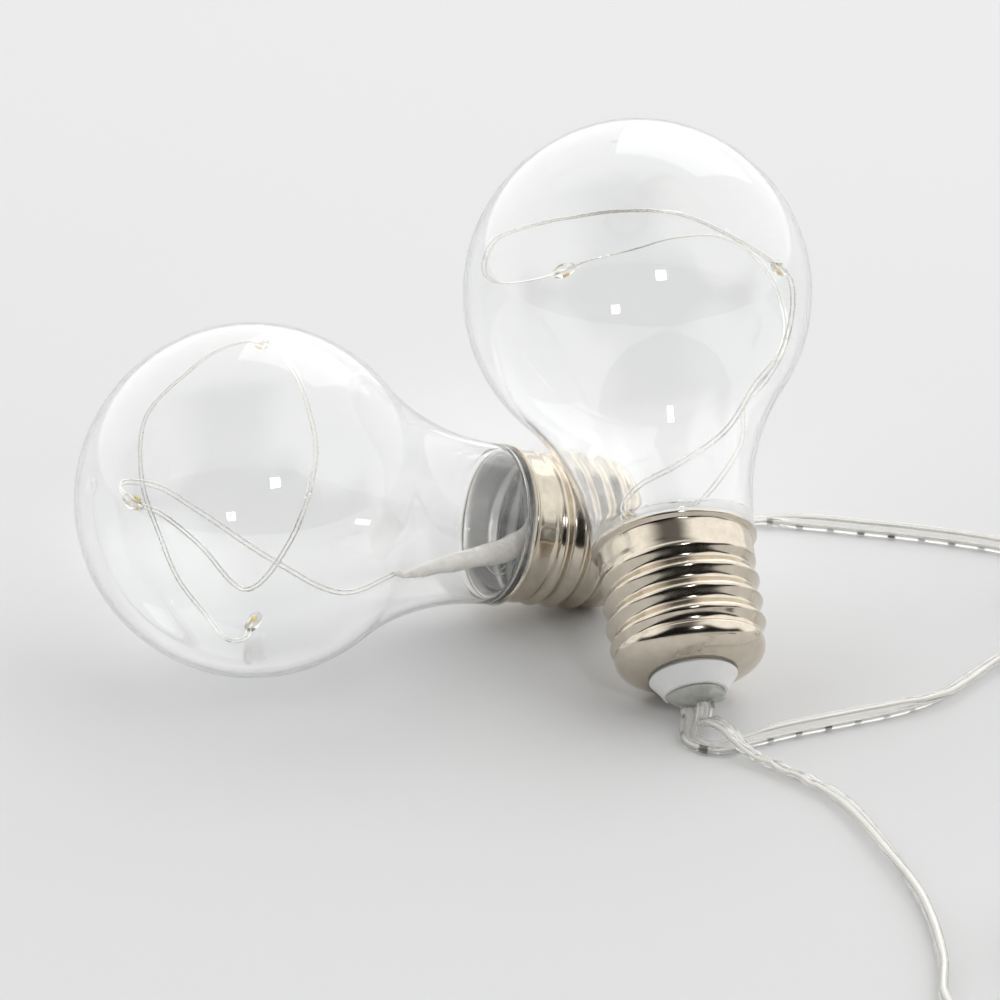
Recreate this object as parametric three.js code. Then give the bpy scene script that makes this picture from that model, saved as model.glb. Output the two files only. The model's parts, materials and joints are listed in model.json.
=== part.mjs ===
import * as THREE from "three";

// Solar fairy lights: two clear globe lamps on one thin twin lead, laid on a table.
// Millimetres, +Z up. The origin is on the table, midway between the two globes.
// A lamp is made about its own +Z, from the cap's tip to the dome, and then laid down.

const gap = 0.3; // between pieces that touch

// Globe: a clear bulb with a threaded plug
const globeRadius = 30;
const globeCentre = 75; // from the cap's tip
const globeWall = 1;
const neckRadius = 13.95;
const flareLength = 46.4; // from the globe's centre back to the start of the flare
const plugLength = 13;
const plugBore = 10.8;
const plugLeadIn = 0.7; // bevel on the plug's end
const boreTaper = 3; // where the plug's bore opens into the neck
const pipRadius = 1.3; // moulding mark on the dome
const pipHeight = 0.45;

// Screw cap: a thin sheet shell with a rolled thread
const threadCrest = 13.4;
const threadDepth = 1;
const threadPitch = 3.85;
const threadPhase = -0.4; // turns the thread to where the crests lie on the real cap
const threadStart = 0.9; // length over which the first valley deepens
const threadRise = 2.8; // length over which the crests rise from the bowl
const threadFade = 2.4; // length over which the thread runs out at the rim
const sheet = 0.28;
const bowlRadius = 12.75;
const bowlTop = 7.6;
const bowlDepth = 4.1;
const bowlFlat = 6.5; // radius inside which the bowl would be flat
const capHole = 7.2;
const threadTop = 23.6;
const bandRadius = 13.2; // plain band above the thread
const lipRadius = 14.05;
const lipHeight = 1;
const capRim = 27.5;

// Tip: a white insulator and the sealant that the leads come out of
const insulatorTip = 5.6;
const insulatorEdge = 7.5;
const insulatorHeight = 3.4;
const insulatorBore = 4.2;
const collarRadius = 8.3; // holds the insulator from inside
const collarThick = 1.2;
const sealantRadius = 5.2;
const sealantBulge = 1.45;

// Twin lead: two clear lobes with a stranded core each
const leadWidth = 3;
const leadThick = 1.5;
const leadWaist = 1.2;
const leadInside = 9.5; // length that runs on inside a cap

// Light wires: a bare twin wire with a light at each of three places
const wireDiameter = 0.32;
const wireSpacing = 0.7;
const dropLength = 4.4;
const dropRadius = 1.3;
const dropBore = 0.95;
const wireRoom = 0.9; // between a light and the glass
const routeGlobe = 30; // radius of the globe that the routes below are written for
const chipSize = [1.2, 0.6, 0.3];
const chipLift = 0.57;

// Spare lead: two round coils, each held by a tie
const turnPitch = 1.95; // from one turn to the next
const layerPitch = 3.45;
const tieThick = 0.5;
const tieWidth = 2.6;

// Connector on the end of the lead
const plugWidth = 10;
const plugHeight = 6.5;
const bodyLength = 18;
const bodyCorner = 1.6;
const socketRadius = 1.45;
const socketSpacing = 4.4;
const contactRadius = socketRadius - gap;
const contactBore = 0.7;
const contactRecess = 1.5;
const bootLength = 9;
const bootBack = [1.7, 2.4]; // half of its height and of its width
const bootRibs = 3;

// Places of the two globes in plan, and the way each lamp points from tip to dome
const globeSpread = [65.3, 29.86];
const headingA = THREE.MathUtils.degToRad(205.5);
const headingB = THREE.MathUtils.degToRad(99.6);

// Fineness of the faces
const turnSteps = 24;
const smallSteps = 16;
const rowsPerTurn = 5;
const coilSteps = 20;
const wireSteps = 42;
const wireSides = 6;

function opaque(color, roughness) {
  return new THREE.MeshStandardMaterial({ color, roughness });
}

function metal(color, roughness) {
  return new THREE.MeshStandardMaterial({ color, roughness, metalness: 1 });
}

function clear(color, roughness, opacity) {
  return new THREE.MeshStandardMaterial({ color, roughness, opacity, transparent: true });
}

const materials = {
  globe: clear(0xeef2f3, 0.04, 0.3),
  nickel: metal(0xb5aca0, 0.28),
  insulator: opaque(0xf1f1ef, 0.4),
  sealant: clear(0xb9c0bc, 0.35, 0.8),
  glue: clear(0xe9e6df, 0.3, 0.8),
  lead: clear(0xdfe0de, 0.15, 0.7),
  wire: metal(0xc9c2b4, 0.3),
  chip: opaque(0xe8cf7a, 0.6),
  drop: clear(0xf4efe0, 0.08, 0.6),
  tie: opaque(0xf4f4f2, 0.5),
  connector: opaque(0x2b2c2e, 0.5),
  contact: metal(0xc8c8c6, 0.25),
};

const fairyLights = new THREE.Group();

function piece(parent, name, geometry, material) {
  const mesh = new THREE.Mesh(geometry, material);
  mesh.name = name;
  parent.add(mesh);
  return mesh;
}

// Shapes shared by several pieces

// Turns a profile of [radius, height] about Z: up the outside, and down the inside if there is one
function turned(profile, steps = turnSteps) {
  const points = profile.map(([radius, height]) => new THREE.Vector2(radius, height));
  return new THREE.LatheGeometry(points, steps).rotateX(Math.PI / 2);
}

// Points along an arc of a turned profile, from one angle to another about [radius, height]
function arcPoints(centre, reach, from, to, count) {
  return Array.from({ length: count + 1 }, (_, i) => {
    const angle = THREE.MathUtils.lerp(from, to, i / count);
    return [centre[0] + reach * Math.sin(angle), centre[1] + reach * Math.cos(angle)];
  });
}

// Heights from one value to another, in even steps of about the size given
function evenRows(from, to, step) {
  const count = Math.max(1, Math.round(Math.abs(to - from) / step));
  return Array.from({ length: count + 1 }, (_, i) => THREE.MathUtils.lerp(from, to, i / count));
}

function outline(points) {
  return new THREE.Shape(points.map(([x, y]) => new THREE.Vector2(x, y)));
}

// A tube along a curve, by a section
function alongCurve(section, curve, steps) {
  return new THREE.ExtrudeGeometry(section, { steps, extrudePath: curve });
}

function smoothCurve(points) {
  return new THREE.CatmullRomCurve3(points.map((point) => new THREE.Vector3(...point)));
}

// A closed skin over rings of points, each ring a list of vectors, with flat ends
function skinned(rings) {
  const sides = rings[0].length;
  const last = (rings.length - 1) * sides;
  const positions = rings.flat().flatMap((point) => point.toArray());
  const index = [];
  for (let k = 0; k < rings.length - 1; k++) {
    for (let i = 0; i < sides; i++) {
      const a = k * sides + i;
      const b = k * sides + ((i + 1) % sides);
      index.push(a, b, a + sides, b, b + sides, a + sides);
    }
  }
  for (let i = 1; i < sides - 1; i++) {
    index.push(0, i + 1, i);
    index.push(last, last + i, last + i + 1);
  }
  const geometry = new THREE.BufferGeometry();
  geometry.setAttribute("position", new THREE.Float32BufferAttribute(positions, 3));
  geometry.setIndex(index);
  geometry.computeVertexNormals();
  return geometry;
}

// Round rings of a given size at even steps along a curve
function ringsAlong(curve, steps, sides, sizeAt) {
  const frames = curve.computeFrenetFrames(steps, false);
  return Array.from({ length: steps + 1 }, (_, k) => {
    const centre = curve.getPointAt(k / steps);
    const [wide, high] = sizeAt(k / steps);
    return Array.from({ length: sides }, (_, i) => {
      const angle = (i / sides) * 2 * Math.PI;
      return centre
        .clone()
        .addScaledVector(frames.normals[k], wide * Math.cos(angle))
        .addScaledVector(frames.binormals[k], high * Math.sin(angle));
    });
  });
}

// Outside radius of the rolled thread: a right-hand wave that rises from the bowl
// and runs out into the plain band
function threadRadius(height, angle) {
  const { smoothstep, lerp } = THREE.MathUtils;
  const start = smoothstep(height, bowlTop, bowlTop + threadStart);
  const runOut = smoothstep(height, threadTop - threadFade, threadTop);
  const rise = smoothstep(height, bowlTop, bowlTop + threadRise);
  const crest = lerp(lerp(bowlRadius, threadCrest, rise), bandRadius, runOut);
  const wave = 0.5 - 0.5 * Math.cos((2 * Math.PI * height) / threadPitch - angle - threadPhase);
  return crest - (crest - threadCrest + threadDepth) * wave * start * (1 - runOut);
}

// Rolls the thread into a turned skin: a row between the bowl and the band
// keeps its distance in from the band
function rollThread(geometry, insideRadius) {
  const position = geometry.attributes.position;
  const point = new THREE.Vector3();
  for (let i = 0; i < position.count; i++) {
    point.fromBufferAttribute(position, i);
    const radius = Math.hypot(point.x, point.y);
    if (radius > insideRadius && point.z > bowlTop && point.z < threadTop) {
      const rolled = threadRadius(point.z, Math.atan2(point.y, point.x)) - (bandRadius - radius);
      position.setXYZ(i, (point.x * rolled) / radius, (point.y * rolled) / radius, point.z);
    }
  }
  return geometry;
}

// Screw cap

function bowlPoints(thickness, count) {
  const wide = bowlRadius - bowlFlat - thickness;
  const deep = bowlDepth - thickness;
  const from = Math.asin((capHole - bowlFlat) / wide);
  return Array.from({ length: count + 1 }, (_, i) => {
    const angle = THREE.MathUtils.lerp(from, Math.PI / 2, i / count);
    return [bowlFlat + wide * Math.sin(angle), bowlTop - deep * Math.cos(angle)];
  });
}

function screwCap() {
  const rows = evenRows(bowlTop, threadTop, threadPitch / rowsPerTurn);
  const lipFoot = capRim - lipHeight;
  const outside = [
    ...bowlPoints(0, 5),
    ...rows.slice(1).map((height) => [bandRadius, height]),
    [bandRadius, lipFoot],
    [(bandRadius + lipRadius) / 2, lipFoot + 0.35 * lipHeight],
    [lipRadius, lipFoot + 0.6 * lipHeight],
    [lipRadius, capRim],
  ];
  const inside = [
    ...bowlPoints(sheet, 4),
    ...rows.slice(1).map((height) => [bandRadius - sheet, height]),
    [bandRadius - sheet, capRim],
  ].reverse();
  return rollThread(turned([...outside, ...inside, outside[0]]), capHole);
}

// Globe

const flareRadius =
  (flareLength ** 2 + neckRadius ** 2 - globeRadius ** 2) / (2 * (globeRadius - neckRadius));
const flareCentre = [neckRadius + flareRadius, globeCentre - flareLength];
const flareAngle = Math.atan2(flareCentre[0], flareCentre[1] - globeCentre); // from the globe's centre

// Radius of the globe's outside in the flare and the sphere
function globeRadiusAt(height) {
  const meet = globeCentre + globeRadius * Math.cos(flareAngle);
  if (height <= flareCentre[1]) return neckRadius;
  if (height < meet) return flareCentre[0] - Math.sqrt(flareRadius ** 2 - (height - flareCentre[1]) ** 2);
  return Math.sqrt(Math.max(0, globeRadius ** 2 - (height - globeCentre) ** 2));
}

function globe() {
  const shoulder = capRim + gap;
  const plugEnd = capRim - plugLength;
  const plugRadius = bandRadius - sheet - gap;
  const rows = evenRows(plugEnd + plugLeadIn, threadTop, threadPitch / rowsPerTurn);
  const towardsNeck = -Math.PI / 2; // from the flare's own centre
  const towardsGlobe = flareAngle - Math.PI;
  const pipFoot = Math.asin(pipRadius / globeRadius);
  const outside = [
    [plugBore, plugEnd],
    [plugRadius - threadDepth - plugLeadIn, plugEnd],
    ...rows.map((height) => [plugRadius, height]),
    [plugRadius, shoulder],
    [neckRadius - plugLeadIn / 2, shoulder],
    [neckRadius, shoulder + plugLeadIn / 2],
    ...arcPoints(flareCentre, flareRadius, towardsNeck, towardsGlobe, 6),
    ...arcPoints([0, globeCentre], globeRadius, flareAngle, pipFoot, 8).slice(1),
    [0.8 * pipRadius, globeCentre + globeRadius + pipHeight],
    [0, globeCentre + globeRadius + pipHeight],
  ];
  const inside = [
    [plugBore, shoulder],
    ...arcPoints(flareCentre, flareRadius + globeWall, towardsNeck, towardsGlobe, 5).filter(
      ([, height]) => height > shoulder + boreTaper,
    ),
    ...arcPoints([0, globeCentre], globeRadius - globeWall, flareAngle, 0, 7).slice(1),
  ];
  inside.splice(1, 0, [flareCentre[0] - flareRadius - globeWall, shoulder + boreTaper]);
  return { outside, inside: inside.reverse() };
}

// The globe's skin: outside from the plug's end to the dome, then inside back down to it.
// The dome's two poles lie on the axis, so the plug's end is where the profile closes.
function globeGeometry() {
  const { outside, inside } = globe();
  return rollThread(turned([...outside, ...inside, outside[0]]), plugBore + gap);
}

// Tip

function insulator() {
  const stem = capHole - gap;
  const collarFoot = bowlTop - bowlDepth + sheet + gap + 0.4;
  return turned(
    [
      [insulatorBore, 0],
      [insulatorTip - 0.3, 0],
      [insulatorTip, 0.3],
      [insulatorEdge, insulatorHeight - 0.3],
      [insulatorEdge - 0.3, insulatorHeight - gap],
      [stem, insulatorHeight - gap],
      [stem, collarFoot],
      [collarRadius, collarFoot],
      [collarRadius, collarFoot + collarThick],
      [insulatorBore, collarFoot + collarThick],
      [insulatorBore, 0],
    ],
    smallSteps,
  );
}

const sealantTop = bowlTop - bowlDepth + sheet + gap + collarThick + 0.8;

function sealant() {
  const stem = insulatorBore - gap;
  return turned(
    [
      [0, -gap - sealantBulge],
      [0.6 * sealantRadius, -gap - 0.85 * sealantBulge],
      [0.92 * sealantRadius, -gap - 0.45 * sealantBulge],
      [sealantRadius, -gap],
      [stem, -gap],
      [stem, sealantTop - 0.4],
      [0, sealantTop],
    ],
    smallSteps,
  );
}

// Twin lead

function leadSection() {
  const half = leadWidth / 2;
  const lobe = leadThick / 2;
  const waist = leadWaist / 2;
  return [
    [half, 0],
    [0.65 * half, lobe],
    [0, waist],
    [-0.65 * half, lobe],
    [-half, 0],
    [-0.65 * half, -lobe],
    [0, -waist],
    [0.65 * half, -lobe],
  ];
}

function innerLead(place) {
  const section = outline(leadSection());
  const geometry = new THREE.ExtrudeGeometry(section, { depth: leadInside, bevelEnabled: false });
  return geometry.translate(place, 0, sealantTop + gap);
}

// Light wires: each lamp's route is in the lamp's own frame, and light marks the places of its lights
const lampWires = {
  a: {
    tail: [[0, 1, 17.6], [-0.8, 3.2, 23], [-1.8, 6.2, 33], [-3.2, 9.9, 46.2]],
    tailSizes: [3.4, 2, 1.3, 0.75],
    route: [
      [-3.2, 9.9, 46.5], [-4.6, 13.4, 56.4], [-2.9, 9.2, 70.2], [-0.9, 2.8, 84.2], [0, -0.8, 93],
      [-1.2, -1.3, 99.6], [-4.2, -1, 101.4], [-8.3, -0.2, 100.7], [-13.8, -0.5, 98.4], [-20, 2.1, 93.4],
      [-24.2, 8.1, 84.8], [-26.9, -1.8, 80.3], [-22.4, -15.8, 77], [-16.1, -22.2, 77.2], [-7.3, -26.4, 77.5],
      [8.2, -26.1, 77.4], [16.5, -21.3, 80.4], [20.8, -16.4, 82], [24, -6.1, 87], [25, 6.5, 84.2],
      [22, 15, 79.6], [17.4, 21.2, 76.8], [10.8, 25.2, 73.2], [3, 27, 71.4], [3.2, 26.9, 68.2],
      [6.3, 26, 66.2], [9, 24, 63.2],
    ],
    lights: [7, 15, 25],
  },
  b: {
    tail: [[0, 0, 17.6], [0.6, -0.2, 21], [1.6, -0.3, 24.5], [2.6, -0.5, 28]],
    tailSizes: [3.4, 2.4, 1.5, 0.75],
    route: [
      [2.6, -0.5, 28.3], [6, -1.3, 34.6], [10.2, -1.6, 39.5], [14.1, -0.8, 45.4], [17.7, 1.4, 51.4],
      [20.7, 2.6, 56.4], [23.7, 1.3, 60.8], [26, -2, 66.6], [25.3, -9.6, 70.4], [21.2, -17, 70.6],
      [13.6, -23.8, 72.4], [3.4, -27.3, 76.1], [-6.3, -26.6, 77.5], [-13.4, -23.8, 78.4], [-20, -18.2, 80.1],
      [-25, -8, 82.8], [-26.4, -0.5, 82.8], [-25, 7, 83.4], [-20.2, 14.6, 85.6], [-10.5, 20.4, 89.8],
      [-4.2, 20.7, 92.3], [4.2, 19.6, 93.5], [11.3, 16.4, 93.8], [19.2, 11.1, 90.7], [24.8, 7.9, 83.5],
      [26.3, 4.6, 72], [22.6, -3.2, 60.3], [18.9, -3.6, 53], [11, -2.4, 46.7], [2.3, -0.5, 41.8],
      [-4.6, 0.9, 38.8], [-7.4, 1.3, 35.4], [-6.6, 1.2, 31.6], [-4.4, 1, 28.6],
    ],
    lights: [9, 19, 32],
  },
};

function taperedTail({ tail, tailSizes }) {
  const spread = tailSizes.length - 1;
  return skinned(
    ringsAlong(smoothCurve(tail.map(insideGlobe)), 8, 8, (t) => {
      const k = Math.min(spread - 1, Math.floor(t * spread));
      const size = THREE.MathUtils.lerp(tailSizes[k], tailSizes[k + 1], t * spread - k);
      return [size, size];
    }),
  );
}

// Where a listed point lies along its curve, as a share of the curve's length
function shareOfLength(curve, pointIndex) {
  const lengths = curve.getLengths(1000);
  return lengths[Math.round((pointIndex / (curve.points.length - 1)) * 1000)] / lengths[1000];
}

// Fits a point of a route to this globe, and brings it in from the glass so that a light has room there
function insideGlobe([x, y, z]) {
  const share = THREE.MathUtils.smoothstep(z, capRim, globeCentre - 0.6 * routeGlobe);
  const size = 1 + (globeRadius / routeGlobe - 1) * share;
  const point = new THREE.Vector3(x * size, y * size, (z - globeCentre) * size);
  const reach = globeRadius - globeWall - dropRadius - wireRoom;
  if (z > globeCentre - reach) point.clampLength(0, reach);
  return [point.x, point.y, point.z + globeCentre];
}

function addWires(lamp, name, { route, lights }) {
  const middle = smoothCurve(route.map(insideGlobe));
  const frames = middle.computeFrenetFrames(wireSteps, false);
  const section = outline(
    Array.from({ length: wireSides }, (_, i) => {
      const angle = (i / wireSides) * 2 * Math.PI;
      return [(wireDiameter / 2) * Math.cos(angle), (wireDiameter / 2) * Math.sin(angle)];
    }),
  );
  const pair = [-0.5, 0.5].map((side) => {
    const stations = frames.binormals.map((across, k) =>
      middle.getPointAt(k / wireSteps).addScaledVector(across, side * wireSpacing),
    );
    return new THREE.CatmullRomCurve3(stations);
  });
  pair.forEach((curve, i) => {
    piece(lamp, `${name}_wire_${i + 1}`, alongCurve(section, curve, wireSteps), materials.wire);
  });
  lights.forEach((pointIndex, i) => {
    const light = lightOn(pair, shareOfLength(middle, pointIndex));
    lamp.add(light);
    const chipBody = new THREE.BoxGeometry(...chipSize);
    const chip = piece(light, `${name}_led_chip_${i + 1}`, chipBody, materials.chip);
    chip.rotation.x = Math.PI / 2;
    chip.position.y = chipLift;
    piece(light, `${name}_led_drop_${i + 1}`, resinDrop(), materials.drop);
  });
}

// A group on a straight step of the wire pair: X along it, Z from one wire to the other
function lightOn(pair, share) {
  const step = Math.floor(share * wireSteps);
  const [near, far] = pair.map((curve) => [0, 1].map((k) => curve.getPointAt((step + k) / wireSteps)));
  const along = near[1].clone().add(far[1]).sub(near[0]).sub(far[0]).normalize();
  const across = far[0].clone().add(far[1]).sub(near[0]).sub(near[1]);
  across.addScaledVector(along, -across.dot(along)).normalize();
  const light = new THREE.Group();
  light.setRotationFromMatrix(new THREE.Matrix4().makeBasis(along, across.clone().cross(along), across));
  light.position.copy(near[0]).add(near[1]).add(far[0]).add(far[1]).divideScalar(4);
  return light;
}

function resinDrop() {
  const half = dropLength / 2;
  const shell = [0, 0.25, 0.5, 0.75, 1].map((t) => {
    const along = THREE.MathUtils.lerp(-half, half, t);
    return [dropBore + 0.06 + (dropRadius - dropBore - 0.06) * Math.sqrt(1 - (2 * t - 1) ** 2), along];
  });
  return turned([[dropBore, -half], ...shell, [dropBore, half], [dropBore, -half]], 8).rotateY(Math.PI / 2);
}

// Lays a lamp down: the globe's centre over its place in plan, and the axis tilted up towards the dome
function lampPose(centre, heading, tilt, tipHeight) {
  const ahead = new THREE.Vector3(Math.cos(heading), Math.sin(heading), 0);
  const axis = ahead.clone().multiplyScalar(Math.cos(tilt)).setZ(Math.sin(tilt));
  const across = new THREE.Vector3(ahead.y, -ahead.x, 0);
  const pose = new THREE.Matrix4().makeBasis(across, axis.clone().cross(across), axis);
  const tip = new THREE.Vector3(...centre, tipHeight);
  return pose.setPosition(tip.addScaledVector(ahead, -globeCentre * Math.cos(tilt)));
}

// Radii and heights along the cap's underside, which is what can touch the table
const underside = [
  ...bowlPoints(0, 24),
  ...evenRows(bowlTop, threadTop, 0.1).map((height) => [threadRadius(height, Math.PI / 2), height]),
];

// The lying lamp touches the table with its globe and with its cap's first full crest
function lyingPose(centre, heading) {
  const tilts = underside.map(([radius, height]) => {
    const along = globeCentre - height;
    return Math.asin(globeRadius / Math.hypot(along, radius)) - Math.atan2(radius, along);
  });
  const tilt = Math.min(...tilts);
  return lampPose(centre, heading, tilt, globeRadius - globeCentre * Math.sin(tilt));
}

// The leaning lamp stands on the bowl of its cap
function leaningPose(centre, heading, tilt) {
  const tipHeights = underside.map(([radius, height]) => radius * Math.cos(tilt) - height * Math.sin(tilt));
  return lampPose(centre, heading, tilt, Math.max(...tipHeights));
}

// Outside radius of a whole lamp at a height above its tip
function lampRadiusAt(height) {
  if (height < 0 || height > globeCentre + globeRadius) return 0;
  if (height < bowlTop - bowlDepth) return insulatorEdge;
  if (height < capRim - lipHeight) return threadCrest;
  if (height < capRim + gap) return lipRadius;
  return globeRadiusAt(height);
}

// Least distance between the lying lamp's surface and the leaning lamp
function clearance(lying, leaning) {
  const toLeaning = leaning.clone().invert().multiply(lying);
  const point = new THREE.Vector3();
  let least = Infinity;
  for (let height = 0; height <= globeCentre; height += 0.5) {
    for (let i = 0; i < 3 * turnSteps; i++) {
      const angle = (i / (3 * turnSteps)) * 2 * Math.PI;
      const radius = lampRadiusAt(height);
      point.set(radius * Math.cos(angle), radius * Math.sin(angle), height).applyMatrix4(toLeaning);
      const slope = lampRadiusAt(point.z + 0.5) - lampRadiusAt(point.z - 0.5);
      const away = (Math.hypot(point.x, point.y) - lampRadiusAt(point.z)) / Math.hypot(1, slope);
      least = Math.min(least, away);
    }
  }
  return least;
}

// The second lamp leans on the first lamp's cap: its tilt is the least that clears it
function leanTilt(lying, centre, heading) {
  let low = THREE.MathUtils.degToRad(25);
  let high = THREE.MathUtils.degToRad(75);
  for (let i = 0; i < 16; i++) {
    const middle = (low + high) / 2;
    if (clearance(lying, leaningPose(centre, heading, middle)) < gap) low = middle;
    else high = middle;
  }
  return high;
}

function addLamp(name, pose, leadPlaces) {
  const lamp = new THREE.Group();
  lamp.applyMatrix4(pose);
  fairyLights.add(lamp);
  piece(lamp, `lamp_${name}_globe`, globeGeometry(), materials.globe);
  piece(lamp, `lamp_${name}_screw_cap`, screwCap(), materials.nickel);
  piece(lamp, `lamp_${name}_insulator`, insulator(), materials.insulator);
  piece(lamp, `lamp_${name}_tip_sealant`, sealant(), materials.sealant);
  leadPlaces.forEach((place, i) => {
    piece(lamp, `lamp_${name}_inner_lead_${i + 1}`, innerLead(place), materials.lead);
  });
  piece(lamp, `lamp_${name}_glue_tail`, taperedTail(lampWires[name]), materials.glue);
  addWires(lamp, `lamp_${name}`, lampWires[name]);
}

const centreA = globeSpread.map((spread) => -spread / 2);
const centreB = globeSpread.map((spread) => spread / 2);
const poseA = lyingPose(centreA, headingA);
const tiltB = leanTilt(poseA, centreB, headingB);
const poseB = leaningPose(centreB, headingB, tiltB);
addLamp("a", poseA, [0]);
addLamp("b", poseB, [-(leadWidth + 2 * gap) / 2, (leadWidth + 2 * gap) / 2]);

// Spare lead, wound on edge: in along the lower layer, up a layer in half a turn, and out along the upper one

function coilCentreline({ centre, innerRadius, turns, startAngle, way }) {
  const steps = Math.round(turns * coilSteps);
  const lowHeight = tieThick + gap + leadWidth / 2;
  return Array.from({ length: steps + 1 }, (_, k) => {
    const turn = (k / steps) * turns - turns / 2;
    const angle = startAngle + way * (turn + turns / 2) * 2 * Math.PI;
    const radius = innerRadius + turnPitch * Math.abs(turn);
    const height = lowHeight + layerPitch * THREE.MathUtils.smoothstep(turn, -0.25, 0.25);
    const outward = new THREE.Vector3(Math.cos(angle), Math.sin(angle), 0);
    const place = new THREE.Vector3(...centre, height).addScaledVector(outward, radius);
    return { place, outward };
  });
}

// A coil's rings, with its two ends run on straight for the width of the lead
function coilRings(coil) {
  const line = coilCentreline(coil);
  const straightEnd = ({ place, outward }, ahead) => {
    const along = new THREE.Vector3(-outward.y, outward.x, 0).multiplyScalar(ahead * coil.way * leadWidth);
    return { place: place.clone().add(along), outward };
  };
  const stations = [straightEnd(line[0], -1), ...line, straightEnd(line.at(-1), 1)];
  const half = leadThick / 2;
  const edge = leadWidth / 2;
  const section = [
    [half, -0.6 * edge],
    [half, 0.6 * edge],
    [0, edge],
    [-half, 0.6 * edge],
    [-half, -0.6 * edge],
    [0, -edge],
  ];
  return stations.map(({ place, outward }) =>
    (coil.way < 0 ? section : section.slice().reverse()).map(([out, up]) =>
      place.clone().addScaledVector(outward, out).add(new THREE.Vector3(0, 0, up)),
    ),
  );
}

function leastGap(rings) {
  let least = Infinity;
  for (let a = 0; a < rings.length; a++) {
    for (let b = a + Math.round(coilSteps / 2); b < rings.length; b++) {
      for (const p of rings[a]) for (const q of rings[b]) least = Math.min(least, p.distanceTo(q));
    }
  }
  return least;
}

const linkCoil = { centre: [119.5, 10], innerRadius: 15.5, turns: 2.5, startAngle: Math.PI / 2, way: -1 };
const leadCoil = { centre: [114.5, -125], innerRadius: 13.5, turns: 9.2, startAngle: -0.4 * Math.PI, way: 1 };

function coilEnds(coil) {
  const rings = coilRings(coil);
  const middleOf = (ring) => {
    const sum = ring.reduce((total, point) => total.add(point), new THREE.Vector3());
    return sum.divideScalar(ring.length);
  };
  const past = (from, to) => to.clone().addScaledVector(to.clone().sub(from).normalize(), gap);
  return {
    start: past(middleOf(rings[1]), middleOf(rings[0])),
    end: past(middleOf(rings.at(-2)), middleOf(rings.at(-1))),
  };
}

function coilTie({ centre, innerRadius, turns }, angle) {
  const inner = innerRadius - leadThick / 2 - gap;
  const outer = innerRadius + (turnPitch * turns) / 2 + leadThick / 2 + gap;
  const top = tieThick + 2 * gap + leadWidth + layerPitch;
  const oblong = (left, right, low, high) =>
    outline([[left, low], [right, low], [right, high], [left, high]]);
  const frame = oblong(inner - tieThick, outer + tieThick, 0, top + tieThick);
  frame.holes.push(oblong(inner, outer, tieThick, top));
  return new THREE.ExtrudeGeometry(frame, { depth: tieWidth, bevelEnabled: false })
    .translate(0, 0, -tieWidth / 2)
    .rotateX(Math.PI / 2)
    .rotateZ(angle)
    .translate(...centre, 0);
}

// Free stretches of the lead, on the table between the tips, the coils and the connector

const exitBelowTip = gap + sealantBulge + gap;

function tipExit(pose, x, y) {
  const exit = new THREE.Vector3(x, y, -exitBelowTip).applyMatrix4(pose);
  const outwards = new THREE.Vector3(0, 0, -1).transformDirection(pose);
  return { exit, outwards };
}

const linkAtA = tipExit(poseA, 0, 0);
const linkAtB = tipExit(poseB, -1.3, 0.9);
const leadAtB = tipExit(poseB, 1.1, -1.1);
const linkEnds = coilEnds(linkCoil);
const leadEnds = coilEnds(leadCoil);

const connectorPlace = [leadEnds.end.x, -106];
const connectorMiddle = plugHeight / 2;

// A route's points: place, and by how many degrees the flat lead is turned on edge there
function turnedBy(place, degrees) {
  return [...place.toArray(), degrees];
}

const linkBackRoute = [
  turnedBy(linkAtA.exit, 0),
  turnedBy(linkAtA.exit.clone().addScaledVector(linkAtA.outwards, 5), 0),
  [43, 23.5, 3.4, 0], [45, 33, 1.2, 0], [47.5, 43, 0.95, 0], [55.4, 47.6, 1.1, -10], [66.2, 45.6, 1.55, 60],
  [74.1, 43.4, 1.6, 65], [82.8, 41, 1.6, 65], [93.7, 37.2, 1.6, 65], [104, 32, 1.75, 70], [111, 29, 2.2, 80],
  turnedBy(linkEnds.start, 90),
];
const linkFrontRoute = [
  turnedBy(linkAtB.exit, 0),
  turnedBy(linkAtB.exit.clone().addScaledVector(linkAtB.outwards, 1.6), 0),
  [40.3, -44.6, 1, 0], [40.9, -49, 0.9, 0], [44.4, -51.8, 0.95, 8], [49, -49.8, 1.15, 22],
  [55.1, -46.5, 1.6, 65], [66.8, -40.8, 1.6, 65], [74.5, -37.1, 1.5, 50], [80.6, -33.4, 1.05, 0],
  [84.4, -29.2, 1.05, -12], [87.6, -24.6, 1.05, -8], [94.4, -15.2, 1.4, -8], [103, -9.6, 3.6, 20],
  [111, -8.1, 5.4, 60],
  turnedBy(linkEnds.end, 90),
];
const leadRoute = [
  turnedBy(leadAtB.exit, 0),
  turnedBy(leadAtB.exit.clone().addScaledVector(leadAtB.outwards, 1.2), 0),
  [43, -44, 2.2, 0], [44.2, -46.6, 3.5, 0], [46.4, -50.2, 3.7, -8], [49.2, -54, 2, -20],
  [53, -58.2, 1.3, -28], [58, -63.3, 1.2, -22], [63.9, -71.6, 1.15, -20], [69.5, -88.1, 1.35, -40],
  [74.8, -111.2, 1.6, -80], [76.2, -130.8, 1.6, -90], [75.6, -143.8, 1.6, -90], [78.4, -152, 1.6, -90],
  [86, -156.6, 1.6, -90], [96, -154.6, 1.6, -90], [106, -150.6, 1.9, -90],
  turnedBy(leadEnds.start, -90),
];
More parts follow.
